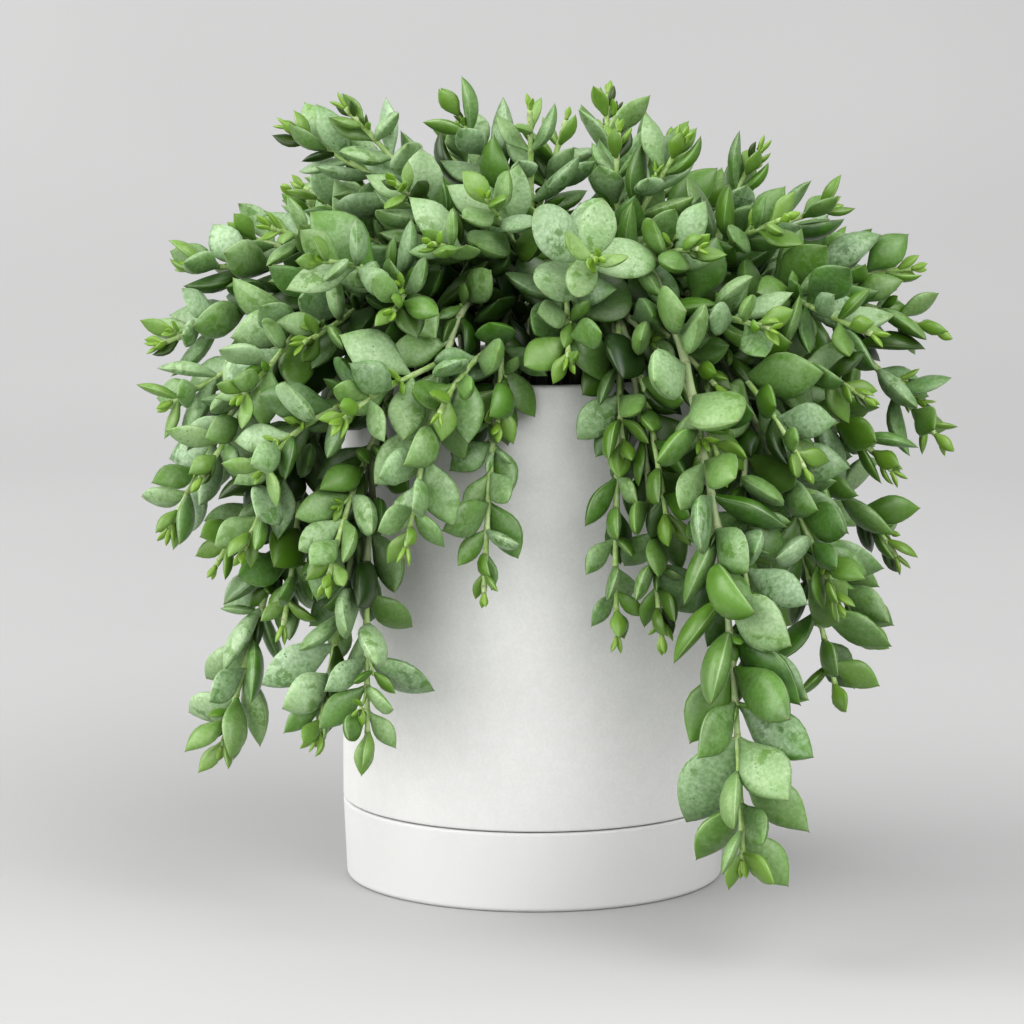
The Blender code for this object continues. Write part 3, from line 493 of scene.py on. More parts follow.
class Leaf:
    """A fleshy leaf. along, up and across are its own axes; curl bends it towards its upper face
    and sweep bends it sideways."""

    def __init__(self, base, along, up, length, width, thick, curl, sweep, blunt):
        self.base = base
        self.along = along
        self.up = up
        self.across = along.cross(up)
        self.length = length
        self.width = width
        self.thick = thick
        self.curl = curl
        self.sweep = sweep
        self.blunt = blunt
        self.lit = 1.0

    def centre(self, u):
        bend = self.curl * u
        forward = math.sin(bend) / self.curl
        lift = (1 - math.cos(bend)) / self.curl
        aside = self.sweep * u * u
        return self.base + (self.along * forward + self.up * lift + self.across * aside) * self.length

    def upward(self, u):
        bend = self.curl * u
        return self.up * math.cos(bend) - self.along * math.sin(bend)

    def ring(self, u, sides, wide, thick, edge=1.0):
        """The points round its section, share u of the way to its tip."""
        middle = self.centre(u)
        up = self.upward(u)
        points = []
        for angle in turns(sides):
            height = math.sin(angle)
            share = math.copysign(abs(height) ** edge, height)
            share *= UPPER_SHARE if height > 0 else UNDER_SHARE
            points.append(middle + self.across * (wide * math.cos(angle)) + up * (thick * share))
        return points

    def cage(self):
        """A plain envelope of the leaf beyond its neck, which keeps its neighbours off."""
        rings = []
        for u in CAGE_STATIONS:
            blade = 0.5 * self.width * math.sin(math.pi * u ** WIDEST_LATE) ** self.blunt
            depth = 0.5 * self.thick * math.sin(math.pi * u ** THICKEST_LATE) ** THICK_BLUNT
            wide = math.hypot(blade, NECK_RADIUS * (1 - u) ** 3) + LEAF_CLEARANCE
            thick = math.hypot(depth, FLAT_NECK * NECK_RADIUS * (1 - u) ** 3) + LEAF_CLEARANCE
            rings.append(self.ring(u, ENVELOPE_SIDES, wide, thick))
        return loft(rings, self.centre(CAGE_START), self.centre(1.0))


def loft(rings, first, last):
    """Points and faces of a closed shape over rings of points, from the point first to last."""
    sides = len(rings[0])
    points = [first] + [p for ring in rings for p in ring] + [last]
    faces = [(0, 1 + (k + 1) % sides, 1 + k) for k in range(sides)]
    for r in range(len(rings) - 1):
        low = 1 + r * sides
        for k in range(sides):
            n = (k + 1) % sides
            faces.append((low + k, low + n, low + sides + n, low + sides + k))
    top = 1 + (len(rings) - 1) * sides
    faces += [(top + k, top + (k + 1) % sides, len(points) - 1) for k in range(sides)]
    return points, faces


def tube(points, radii, sides):
    """Points and faces of a closed tube round a line of points."""
    side = (points[1] - points[0]).orthogonal().normalized()
    rings = []
    for i, point in enumerate(points):
        ahead = (points[min(i + 1, len(points) - 1)] - points[max(i - 1, 0)]).normalized()
        side = (side - ahead * side.dot(ahead)).normalized()
        other = ahead.cross(side)
        rings.append([point + (side * math.cos(a) + other * math.sin(a)) * radii[i] for a in turns(sides)])
    return loft(rings, points[0], points[-1])


def bezier(a, b, c, d, t):
    s = 1 - t
    return a * s**3 + b * (3 * s * s * t) + c * (3 * s * t * t) + d * t**3


def evenly(points, step):
    """The line through points, cut anew into even stretches of about step."""
    marks = [0.0]
    for a, b in zip(points, points[1:]):
        marks.append(marks[-1] + (b - a).length)
    count = max(LEAST_STRETCHES, round(marks[-1] / step))
    made = []
    i = 0
    for k in range(count + 1):
        want = marks[-1] * k / count
        while i < len(points) - 2 and marks[i + 1] < want:
            i += 1
        made.append(points[i].lerp(points[i + 1], (want - marks[i]) / (marks[i + 1] - marks[i])))
    return made


def stem_radius(from_tip):
    share = min(from_tip / STEM_THICKENING, 1.0)
    return STEM_TIP_RADIUS + (STEM_BASE_RADIUS - STEM_TIP_RADIUS) * share


def distances(line):
    """How far each point of a line is from its end, along it."""
    left = sum((b - a).length for a, b in zip(line, line[1:]))
    found = [left]
    for a, b in zip(line, line[1:]):
        left -= (b - a).length
        found.append(left)
    return found


def plan_roots(shoots):
    """Where the rooted stems leave the soil: on the side of their tips, and well apart."""
    rooted = [s for s in shoots if s.parent is None]
    spots = []
    for s in rooted:
        flat = s.tip.xy
        spots.append(flat * min(ROOT_REACH, ROOT_RING / flat.length))
    for _ in range(ROOT_ROUNDS):
        for i, spot in enumerate(spots):
            for other in spots[i + 1:]:
                apart = spot - other
                short = ROOT_SPACING - apart.length
                if short > 0:
                    push = apart.normalized() * (short / 2)
                    spot += push
                    other -= push
    for s, spot in zip(rooted, spots):
        s.root = spot.to_3d()


def plan_route(shoot, by_name):
    """A stem's line: one smooth curve from its root or fork to its tip, straight up out of the soil."""
    out = shoot.tip.xy.to_3d().normalized()
    out.rotate(Quaternion(UP, shoot.turn))
    end_way = out * math.cos(shoot.dip) + UP * math.sin(shoot.dip)
    hang = max(0.0, -math.sin(shoot.dip))
    if shoot.parent is None:
        start = shoot.root + UP * (SOIL_TOP + MM)
        start_way = UP
        gap = (shoot.tip - start).length
        rise = gap * STEM_RISE + HANGING_RISE * hang
        trail = gap * (STEM_TRAIL + HANGING_TRAIL * hang)
        foot = [shoot.root + UP * (SOIL_TOP - ROOT_DEPTH)]
    else:
        trunk = by_name[shoot.parent]
        shoot.trunk = trunk
        shoot.trunk_at = round(shoot.fork * (len(trunk.route) - 1))
        start = trunk.route[shoot.trunk_at]
        trunk_way = (trunk.route[shoot.trunk_at + 1] - trunk.route[shoot.trunk_at - 1]).normalized()
        own_way = (shoot.tip - start).normalized()
        start_way = (trunk_way * PARENT_WAY + own_way * OWN_WAY).normalized()
        gap = (shoot.tip - start).length
        rise = gap * FORK_RISE
        trail = gap * (FORK_TRAIL + FORK_HANGING_TRAIL * hang)
        foot = []
    leave = start + start_way * rise
    arrive = shoot.tip - end_way * trail
    curve = [bezier(start, leave, arrive, shoot.tip, k / ROUTE_DETAIL) for k in range(ROUTE_DETAIL + 1)]
    shoot.route = evenly(foot + curve, ROUTE_STEP)


def near_fork(a, i, b, j):
    """Whether two route points lie by the fork that joins their stems."""
    if b.parent == a.name:
        return j < FORK_REACH and abs(i - b.trunk_at) <= FORK_REACH
    if a.parent == b.name:
        return i < FORK_REACH and abs(j - a.trunk_at) <= FORK_REACH
    if a.parent is not None and a.parent == b.parent:
        return i < FORK_REACH and j < FORK_REACH and abs(a.trunk_at - b.trunk_at) <= FORK_REACH
    return False


def keep_off_rim(point):
    """Moves a point of a stem out of the pot's rim and off its outside."""
    far = point.xy.length
    low = POT_TOP + RIM_CLEARANCE - point.z
    wide = POT_RADIUS + RIM_CLEARANCE - far
    if low > 0 and wide > 0 and far > POT_RADIUS - POT_WALL - 2 * RIM_CLEARANCE:
        if low < wide:
            point.z += low
        else:
            point.xy *= (far + wide) / far


def bend_clear(shoots):
    """Bends stems that would cross apart, and off the pot. Roots and forks stay put."""
    apart = (2 * STEM_BASE_RADIUS + STEM_CLEARANCE) * BENDING_REACH
    for _ in range(BENDING_ROUNDS):
        places = [(s, i) for s in shoots for i in range(len(s.route))]
        tree = kdtree.KDTree(len(places))
        for n, (s, i) in enumerate(places):
            tree.insert(s.route[i], n)
        tree.balance()
        pushes = {}
        for n, (s, i) in enumerate(places):
            for near, m, gap in tree.find_range(s.route[i], apart):
                other, j = places[m]
                if other is s or near_fork(s, i, other, j):
                    continue
                away = (s.route[i] - near).normalized()
                pushes[n] = pushes.get(n, Vector()) + away * (0.5 * (apart - gap))
        for n, push in pushes.items():
            s, i = places[n]
            if i >= s.held:
                s.route[i] += push
        for s in shoots:
            smooth = [p.copy() for p in s.route]
            for i in range(s.held, len(s.route) - 1):
                smooth[i] = s.route[i].lerp((s.route[i - 1] + s.route[i + 1]) / 2, BENDING_EASE)
                keep_off_rim(smooth[i])
            s.route = smooth
        for s in shoots:
            if s.parent is not None:
                s.route[0] = s.trunk.route[s.trunk_at].copy()


def pair_places(shoot):
    """(index, point, direction) of each leaf pair, from the shoot's tip down to where it is bare."""
    reach = distances(shoot.route)[0] - (BARE_FORK if shoot.parent else BARE_FOOT)
    route = shoot.route
    k = len(route) - 1
    passed = 0.0
    from_tip = 0.0
    index = shoot.ripe
    places = []
    while True:
        gap = PAIR_GAPS[min(index, len(PAIR_GAPS) - 1)] * MM
        from_tip += gap * (1 - GAP_BY_SIZE + GAP_BY_SIZE * shoot.size)
        if not places:
            from_tip = min(from_tip, FIRST_GAP)
        if from_tip > reach:
            return places
        while passed + (route[k] - route[k - 1]).length < from_tip:
            passed += (route[k] - route[k - 1]).length
            k -= 1
        point = route[k] + (route[k - 1] - route[k]).normalized() * (from_tip - passed)
        if index > YOUNG_PAIRS and in_shade(point):
            return places
        way = (route[min(k + 1, len(route) - 1)] - route[max(k - 2, 0)]).normalized()
        places.append((index, point, way))
        index += 1


def in_shade(point):
    """The heart of the crown, where leaves don't last."""
    far = point.xy.length / SHADE_RADIUS
    high = max(0.0, (point.z - CROWN_CENTRE_Z) / SHADE_HEIGHT)
    return far * far + high * high < 1.0


def towards_light(point):
    """Outward at the sides of the crown, and more and more upward to its top."""
    level = clamp((point.z - CROWN_CENTRE_Z) / CROWN_HEIGHT)
    out = point.xy.to_3d().normalized()
    return (out * (1 - SIDE_LIGHT_LOSS * level) + UP * (LIGHT_RISE + TOP_LIGHT_RISE * level)).normalized()


def leaf_on(shoot, index, side, base, way, attempt):
    """The leaf of a pair, each pair a quarter turn from the last. Older leaves open out, turn to
    the light and sag; the youngest stand close round the tip."""
    turn, opening, twist, scale = attempt
    draw = random.Random(f"{shoot.name} {index} {side}")
    age = min(index / YOUNG_PAIRS, 1.0)
    hang = max(0.0, -way.z)
    length = LEAF_LENGTHS[min(index, len(LEAF_LENGTHS) - 1)] * MM
    length *= shoot.size * draw.uniform(*LENGTH_SPREAD) * scale
    aside = LEVEL_START if abs(way.z) < STEEP else STEEP_START
    aside = (aside - way * aside.dot(way)).normalized()
    angle = shoot.phase + (index / 2 + side) * math.pi + draw.gauss(0, TURN_SPREAD)
    aside.rotate(Quaternion(way, angle + math.radians(turn)))
    opened = shoot.spread * (YOUNG_OPENING + (1 - YOUNG_OPENING) * age)
    opened += draw.gauss(0, OPENING_SPREAD) + math.radians(opening)
    light = towards_light(base)
    along = way * math.cos(opened) + aside * math.sin(opened)
    along = (along + light * (LIGHT_PULL * age) - UP * (SAG * age * hang)).normalized()
    inner = way - along * way.dot(along)
    lit = light - along * light.dot(along)
    up = inner.normalized() * FACING_STEM + lit * (FACING_LIGHT * age)
    up = (up - along * up.dot(along)).normalized()
    up.rotate(Quaternion(along, draw.gauss(0, ROLL_SPREAD) + math.radians(twist)))
    width = length * LEAF_ASPECT * shoot.aspect * draw.uniform(*WIDTH_SPREAD)
    width *= YOUNG_WIDTH + (1 - YOUNG_WIDTH) * age
    thick = length * LEAF_PLUMPNESS * draw.uniform(*THICK_SPREAD)
    curl = draw.gauss(USUAL_CURL, CURL_SPREAD) + LEAST_CURL
    sweep = draw.gauss(0, SWEEP_SPREAD)
    blunt = shoot.blunt * draw.uniform(*BLUNT_SPREAD)
    leaf = Leaf(base, along, up, length, width, thick, curl, sweep, blunt)
    leaf.index = index
    leaf.side = side
    return leaf


def out_of_place(points):
    """Whether a leaf would touch the pot or come too near the floor."""
    for p in points:
        if p.z < FLOOR_CLEARANCE:
            return True
        if p.z < POT_TOP + POT_CLEARANCE and p.xy.length < POT_RADIUS + POT_CLEARANCE:
            return True
    return False


class Thicket:
    """What has grown so far, kept in cubes of space, so that a new leaf meets only what is near."""

    CUBE = 30 * MM

    def __init__(self):
        self.cubes = {}

    def cubes_of(self, points):
        spans = []
        for axis in range(3):
            low = min(p[axis] for p in points) // self.CUBE
            high = max(p[axis] for p in points) // self.CUBE
            spans.append(range(int(low), int(high) + 1))
        return [(x, y, z) for x in spans[0] for y in spans[1] for z in spans[2]]

    def add(self, shape, tag):
        entry = (BVHTree.FromPolygons(*shape), tag)
        for cube in self.cubes_of(shape[0]):
            self.cubes.setdefault(cube, []).append(entry)

    def meets(self, shape, ignored):
        mine = BVHTree.FromPolygons(*shape)
        for cube in self.cubes_of(shape[0]):
            for tree, tag in self.cubes.get(cube, ()):
                if tag not in ignored and mine.overlap(tree):
                    return True
        return False


def thinned(route, allowed):
    """Which points of a route a line of straight stretches needs to stay this near it."""
    kept = [0]
    for end in range(2, len(route)):
        start = kept[-1]
        chord = (route[end] - route[start]).normalized()
        for middle in route[start + 1:end]:
            aside = middle - route[start]
            if (aside - chord * aside.dot(chord)).length > allowed:
                kept.append(end - 1)
                break
    return kept + [len(route) - 1]


def add_stem(thicket, shoot):
    """A stem's envelope, which also holds the plainer three-sided stem of the solids."""
    radii = [stem_radius(left) for left in distances(shoot.route)]
    kept = thinned(shoot.route, ROUTE_SLACK)
    for a, b in zip(kept, kept[1:]):
        ends = [THREE_SIDED * radii[a] + LEAF_CLEARANCE, THREE_SIDED * radii[b] + LEAF_CLEARANCE]
        thicket.add(tube([shoot.route[a], shoot.route[b]], ends, ENVELOPE_SIDES), shoot.name)
    bud = [THREE_SIDED * BUD_RADIUS + LEAF_CLEARANCE] * 2
    thicket.add(tube([shoot.route[-1], shoot.bud_tip()], bud, ENVELOPE_SIDES), shoot.name)


def grow(shoots):
    """Routes the stems, then sets the leaves pair by pair from the tips inward, each clear of all
    that grew before it. A leaf that finds no room isn't grown. Returns what has grown."""
    by_name = {s.name: s for s in shoots}
    plan_roots(shoots)
    for s in shoots:
        plan_route(s, by_name)
    bend_clear(shoots)
    thicket = Thicket()
    for s in shoots:
        add_stem(thicket, s)
        s.places = pair_places(s)
    for level in range(max(len(s.places) for s in shoots)):
        for s in shoots:
            if level < len(s.places):
                for side in (0, 1):
                    grow_leaf(thicket, s, *s.places[level], side)
    return thicket


def grow_leaf(thicket, shoot, index, point, way, side):
    ignored = {shoot.name, (shoot.name, index, 1 - side)}
    for attempt in LEAF_TRIES:
        leaf = leaf_on(shoot, index, side, point, way, attempt)
        shape = leaf.cage()
        if not out_of_place(shape[0]) and not thicket.meets(shape, ignored):
            thicket.add(shape, (shoot.name, index, side))
            shoot.leaves.append(leaf)
            return


def front_shoots():
    """The shoots that show from the front, from the left round to the right."""
    shoots = []
    for stem, (x, y, z, dip), *forks in FRONT_STEMS:
        root = "stem_" + stem
        shoots.append(Shoot(root, (x, y, z), dip, **ODD_SHOOTS.get(root, {})))
        for letter, (x, y, z, dip, at) in zip("bcdef", forks):
            name = f"{stem}_{letter}"
            shoots.append(Shoot(name, (x, y, z), dip, root, at, **ODD_SHOOTS.get(name, {})))
    return shoots


def back_shoots():
    """The shoots behind, by a rule: each rooted stem is one of three kinds in turn, and forks twice."""
    draw = random.Random("behind")
    shoots = []
    for k in range(BACK_STEMS):
        azimuth = BACK_ARC[0] + BACK_ARC[1] * (k + 0.5) / BACK_STEMS
        azimuth = math.radians(azimuth + draw.uniform(-BACK_SWING_SPREAD, BACK_SWING_SPREAD))
        reach, height, dip, tips = BACK_KINDS[k % len(BACK_KINDS)]
        reach += draw.uniform(-BACK_REACH_SPREAD, BACK_REACH_SPREAD)
        height += draw.uniform(-BACK_HEIGHT_SPREAD, BACK_HEIGHT_SPREAD)
        name = f"stem_back_{k + 1}"
        tip = (reach * math.cos(azimuth), reach * math.sin(azimuth), height)
        shoots.append(Shoot(name, tip, dip))
        for (letter, swing, further, at), (lift, tilt) in zip(BACK_FORKS, tips):
            swing += draw.uniform(-BACK_SWING_SPREAD, BACK_SWING_SPREAD)
            swing = azimuth + math.radians(swing)
            far = reach + further + draw.uniform(-FORK_REACH_SPREAD, FORK_REACH_SPREAD)
            lift += draw.uniform(-FORK_HEIGHT_SPREAD, FORK_HEIGHT_SPREAD)
            tip = (far * math.cos(swing), far * math.sin(swing), height + lift)
            shoots.append(Shoot(f"back_{k + 1}{letter}", tip, tilt, name, at))
    return shoots


def join(points, faces, shape):
    """Adds a shape to the points and faces of others."""
    first = len(points)
    points += shape[0]
    faces += [tuple(first + i for i in face) for face in shape[1]]


class Skin:
    """The points and faces of one leafy stem as they are laid down, with the values that its
    materials read at each point. grain is where a texture is read. On a leaf, trait holds the wax,
    the youth, the margin and the tip; shade a random number, how far the point is on the under
    side, its share of the length, and how openly the leaf stands in the light. On a stem, trait
    holds only its youth and its swelling, second and third, and shade only the light, last."""

    def __init__(self):
        self.points = []
        self.faces = []
        self.kinds = []
        self.values = {"grain": [], "trait": [], "shade": []}

    def add(self, shape, kind, grain, trait, shade):
        join(self.points, self.faces, shape)
        self.kinds += [kind] * len(shape[1])
        self.values["grain"] += grain
        self.values["trait"] += trait
        self.values["shade"] += shade

    def piece(self, name, finishes):
        mesh = bpy.data.meshes.new(name)
        mesh.from_pydata(self.points, [], self.faces)
        mesh.polygons.foreach_set("material_index", self.kinds)
        for finish in finishes:
            mesh.materials.append(finish)
        for kept, values in self.values.items():
            kind, field = ("FLOAT_VECTOR", "vector") if kept == "grain" else ("FLOAT_COLOR", "color")
            layer = mesh.attributes.new(kept, kind, "POINT")
            layer.data.foreach_set(field, [part for value in values for part in value])
        mesh.shade_smooth()
        mesh.update()
        return linked(name, mesh)


def fine_ring(leaf, u, sides):
    """The points round a fine leaf's section, share u of the way to its tip. The blade widens from a
    wedge at its base and closes in a round end with a point; its thickness runs out to both ends."""
    broad = max(leaf.width / leaf.length - BROAD_SHARE, 0.0)
    if u < FINE_WIDEST:
        rise = max(BASE_WEDGE * leaf.blunt - broad * BROAD_ROUNDS, LEAST_WEDGE)
        blade = math.sin(math.pi / 2 * u / FINE_WIDEST) ** rise
    else:
        fall = max(END_POINT * leaf.blunt - broad, LEAST_POINT)
        blade = math.cos(math.pi / 2 * (u - FINE_WIDEST) / (1 - FINE_WIDEST)) ** fall
    neck = NECK_RADIUS * (1 - u) ** 3
    wide = math.hypot(0.5 * leaf.width * blade, neck)
    thick = math.hypot(0.5 * leaf.thick * math.sin(math.pi * u) ** THICKNESS_RUNS_OUT, neck)
    return leaf.ring(u, sides, wide, thick, LEAF_EDGE)


def skin_leaf(skin, leaf, wax, youth, draw):
    """Lays down a leaf with its thin margin and its nib."""
    lit = leaf.lit
    # Painted shade: a leaf that little light reaches wears less wax, which paints it darker.
    wax *= SHADED_WAX + (1 - SHADED_WAX) * lit
    big = leaf.length > BIG_LEAF
    sides = LEAF_SIDES if big else YOUNG_LEAF_SIDES
    stations = LEAF_STATIONS if big else YOUNG_LEAF_STATIONS
    leaf.thick *= SWELLING
    leaf.sweep *= FINE_SWEEP
    rings = [fine_ring(leaf, u, sides) for u in stations]
    end = leaf.centre(1.0)
    nib = NIB_LENGTH * min(leaf.length / BIG_LEAF, LONGEST_NIB)
    point = end + (end - leaf.centre(NIB_START)).normalized() * nib
    points, faces = loft(rings, leaf.centre(0.0), point)
    chance = draw.random()
    shift = Vector((draw.random(), draw.random(), draw.random()))
    grain = []
    for p in points:
        out = p - leaf.base
        grain.append(Vector((out.dot(leaf.across), out.dot(leaf.along), out.dot(leaf.up))) + shift)
    trait = [(wax, youth, 0.0, 0.0)]
    shade = [(chance, 0.5, 0.0, lit)]
    for u in stations:
        tip = clamp((u - TIP_START) / TIP_SPAN)
        for k, angle in enumerate(turns(sides)):
            margin = 1.0 if 2 * k % sides == 0 else 0.0
            trait.append((wax, youth, margin, tip))
            shade.append((chance, clamp(0.5 - 0.5 * UNDER_SIDE_GAIN * math.sin(angle)), u, lit))
    trait.append((wax, youth, 0.0, 1.0))
    shade.append((chance, 0.5, 1.0, lit))
    skin.add((points, faces), LEAF_KIND, grain, trait, shade)


def smooth_route(route):
    """The route with a smooth curve between its points."""
    fine = []
    for i in range(len(route) - 1):
        a = route[max(i - 1, 0)]
        b = route[i]
        c = route[i + 1]
        d = route[min(i + 2, len(route) - 1)]
        for k in range(STEM_CUTS):
            t = k / STEM_CUTS
            bend = (c - a) * t + (a * 2 - b * 5 + c * 4 - d) * (t * t) + (b * 3 - a - c * 3 + d) * t**3
            fine.append(b + bend * 0.5)
    return fine + [route[-1]]


def stem_openness(route, canopy):
    """How openly each point of a stem stands, evened out past the leaves that sit right on it."""
    found = []
    for point in route:
        out = towards_light(point)
        # Inside the pot a stem gets no light, so it is painted in full painted shade.
        inside = math.hypot(point.x, point.y) < POT_RADIUS and point.z < POT_TOP
        seen = max(canopy.openness(point + out * STEM_LIGHT_START, out), LEAST_OPENNESS)
        found.append(0.0 if inside else seen)
    windows = [slice(max(i - OPENNESS_WINDOW, 0), i + OPENNESS_WINDOW + 1) for i in range(len(found))]
    peaks = [max(found[window]) if one else 0.0 for one, window in zip(found, windows)]
    return [sum(peaks[window]) / len(peaks[window]) for window in windows]


def skin_stem(skin, shoot, canopy):
    """Lays down a stem, swollen a little where each leaf pair stands."""
    route = smooth_route(shoot.route)
    joints = [point for index, point, way in shoot.places]
    openness = stem_openness(route, canopy)
    radii = []
    trait = []
    shade = []
    for point, left, light in zip(route, distances(route), openness):
        near = min([(point - joint).length for joint in joints] + [1.0])
        swell = math.exp(-(near / NODE_REACH) ** 2)
        radii.append(stem_radius(left) * (1 + NODE_SWELL * swell))
        trait += [(0.0, clamp(1 - left / YOUNG_STEM), swell, 0.0)] * STEM_SIDES
        shade += [(0.0, 0.0, 0.0, light)] * STEM_SIDES
    shape = tube(route, radii, STEM_SIDES)
    trait = [trait[0]] + trait + [trait[-1]]
    shade = [shade[0]] + shade + [shade[-1]]
    skin.add(shape, STEM_KIND, shape[0], trait, shade)


def pair_of(base, way, turn, length, opened, draw):
    """Two small leaves face to face, opened by this much from the way that they grow."""
    aside = way.orthogonal().normalized()
    aside.rotate(Quaternion(way, turn))
    made = []
    for side in (aside, -aside):
        start = base + side * SMALL_OFFSET
        along = (way * math.cos(opened) + side * math.sin(opened)).normalized()
        up = way * SMALL_FACING - side
        up = (up - along * up.dot(along)).normalized()
        width = length * draw.uniform(*SMALL_WIDTHS)
        curl = draw.uniform(*SMALL_CURLS) + LEAST_CURL
        thick = length * SMALL_THICKNESS
        made.append(Leaf(start, along, up, length, width, thick, curl, 0.0, SMALL_BLUNT))
    return made


def skin_bud(skin, shoot):
    """The closed young leaves at a shoot's tip."""
    draw = random.Random(shoot.name + " bud")
    way = (shoot.route[-1] - shoot.route[-2]).normalized()
    turn = draw.uniform(0, math.pi)
    for leaf in pair_of(shoot.route[-1], way, turn, draw.uniform(*BUD_LEAVES) * MM, BUD_OPENING, draw):
        skin_leaf(skin, leaf, 0.0, 1.0, draw)


def sprout_at(thicket, shoot, place, side, lengths, stalks, youth):
    """A side shoot in the angle between a leaf and its stem, with a stalk, a pair of leaves and a
    bud. It is made smaller until it is clear of all that grows round it, or it is None."""
    index, point, way = place
    draw = random.Random(f"{shoot.name} {index} {side} {lengths} sprout")
    leaf = next((one for one in shoot.leaves if one.index == index and one.side == side), None)
    if leaf is None:
        return None
    if youth < YOUNG_SPROUT and leaf.along.dot(towards_light(point)) > INNER_SIDE:
        return None
    turn = draw.uniform(0, math.pi)
    length = draw.uniform(*lengths) * MM
    stalk = draw.uniform(*stalks) * MM
    for lean, scale in SPROUT_TRIES:
        heading = (way * (1 - lean) + leaf.along * lean + leaf.up * SPROUT_LIFT).normalized()
        reach = stalk * scale
        end = point + heading * reach + towards_light(point) * (SPROUT_BEND * reach)
        knees = [point + heading * (reach * share) for share in SPROUT_KNEES]
        route = [bezier(point, *knees, end, k / SPROUT_CUTS) for k in range(SPROUT_CUTS + 1)]
        end_way = (route[-1] - route[-2]).normalized()
        opened = draw.uniform(*SPROUT_OPENINGS)
        leaves = pair_of(route[-2], end_way, turn, length * (0.5 + 0.5 * scale), opened, draw)
        shapes = [one.cage() for one in leaves]
        if any(out_of_place(shape[0]) or thicket.meets(shape, {shoot.name}) for shape in shapes):
            continue
        for shape in shapes:
            thicket.add(shape, (shoot.name, index, side, "sprout"))
        size = draw.uniform(*SPROUT_BUDS) * MM
        bud = pair_of(route[-1], end_way, turn + math.pi / 2, size, SPROUT_BUD_OPENING, draw)
        return SimpleNamespace(route=route, leaves=leaves, bud=bud, youth=youth)
    return None


def grow_sprouts(thicket, shoots):
    """The side shoots of all stems: first the larger ones that fill the gaps, then the young ones."""
    sprouts = {shoot.name: [] for shoot in shoots}
    for share, first, lengths, stalks, youth in SPROUT_ROUNDS:
        for shoot in shoots:
            draw = random.Random(f"{shoot.name} {lengths} chance")
            for place in shoot.places:
                for side in (0, 1):
                    if draw.random() < share and place[0] >= first:
                        made = sprout_at(thicket, shoot, place, side, lengths, stalks, youth)
                        if made:
                            sprouts[shoot.name].append(made)
    return sprouts


def skin_sprout(skin, sprout, draw):
    young = sprout.youth > YOUNG_SPROUT
    for leaf in sprout.leaves:
        wax = 0.0 if young else draw.uniform(*SPROUT_WAXES)
        skin_leaf(skin, leaf, wax, sprout.youth * draw.uniform(*SPROUT_YOUTHS), draw)
    if young:
        for leaf in sprout.bud:
            skin_leaf(skin, leaf, 0.0, 1.0, draw)
    radii = [(SPROUT_RADIUS - SPROUT_TAPER * k) * MM for k in range(len(sprout.route))]
    shape = tube(sprout.route, radii, SPROUT_SIDES)
    count = len(shape[0])
    skin.add(shape, STEM_KIND, shape[0], [(0.0, 1.0, 0.0, 0.0)] * count, [(0.0, 0.0, 0.0, 1.0)] * count)


def grow_inner(thicket):
    """Short upright shoots in the heart of the crown, which close it to the eye. The solids leave
    them out. A shoot whose stem finds no room isn't grown."""
    grown = []
    for k in range(INNER_SPOTS):
        draw = random.Random(f"inner {k}")
        angle = k * GOLDEN_ANGLE
        reach = INNER_REACH * math.sqrt((k + 0.5) / INNER_SPOTS)
        height = draw.uniform(*INNER_HEIGHTS) - INNER_FALL * reach
        spot = Vector((reach * math.cos(angle), reach * math.sin(angle), height))
        for share in INNER_ROOTS:
            dip = 90 - INNER_LEAN * reach / INNER_REACH
            shoot = Shoot(f"inner_{k}", spot / MM, dip, size=INNER_SIZE)
            shoot.root = Vector((spot.x * share, spot.y * share, 0))
            plan_route(shoot, {})
            above = shoot.route[2:]
            wide = [STEM_BASE_RADIUS + STEM_CLEARANCE] * len(above)
            if not thicket.meets(tube(above, wide, ENVELOPE_SIDES), ()):
                break
        else:
            continue
        add_stem(thicket, shoot)
        shoot.places = pair_places(shoot)
        for place in shoot.places:
            for side in (0, 1):
                grow_leaf(thicket, shoot, *place, side)
        if len(shoot.leaves) >= INNER_LEAST_LEAVES:
            grown.append(shoot)
    return grown


class Canopy:
    """All the leaves and the pot's wall as plain shapes, to work out how openly a place stands."""

    def __init__(self, leaves):
        wall = [Vector((0, 0, share * POT_TOP)) for share in WALL_STATIONS]
        points = []
        faces = []
        for leaf in leaves:
            join(points, faces, leaf.cage())
        join(points, faces, tube(wall, [POT_RADIUS] * len(wall), WALL_SIDES))
        self.tree = BVHTree.FromPolygons(points, faces)
        self.ways = []
        for k in range(LIGHT_WAYS):
            rise = 1 - (2 * k + 1) / LIGHT_WAYS
            angle = k * GOLDEN_ANGLE
            flat = math.sqrt(1 - rise * rise)
            self.ways.append(Vector((flat * math.cos(angle), flat * math.sin(angle), rise)))

    def openness(self, start, out):
        """The share of the ways towards the light that nothing bars."""
        tried = [way for way in self.ways if way.dot(out) > LIGHT_CONE]
        free = [way for way in tried if self.tree.ray_cast(start, way, LIGHT_REACH)[0] is None]
        return min(len(free) / len(tried) * LIGHT_GAIN, 1.0)


def light_leaves(shoots, sprouts):
    """Gives every leaf its openness. The leaf material paints shade with it: leaves that little light
    reaches are painted a deeper, darker green, with less wax.
    """
    leaves = [leaf for shoot in shoots for leaf in shoot.leaves]
    for made in sprouts.values():
        for sprout in made:
            leaves += sprout.leaves + sprout.bud
    canopy = Canopy(leaves)
    for leaf in leaves:
        middle = leaf.centre(LEAF_MIDDLE)
        out = towards_light(middle)
        face = leaf.upward(LEAF_MIDDLE)
        start = middle + face * math.copysign(OFF_LEAF * leaf.thick + LIGHT_START, face.dot(out))
        leaf.lit = canopy.openness(start, out)
    return canopy


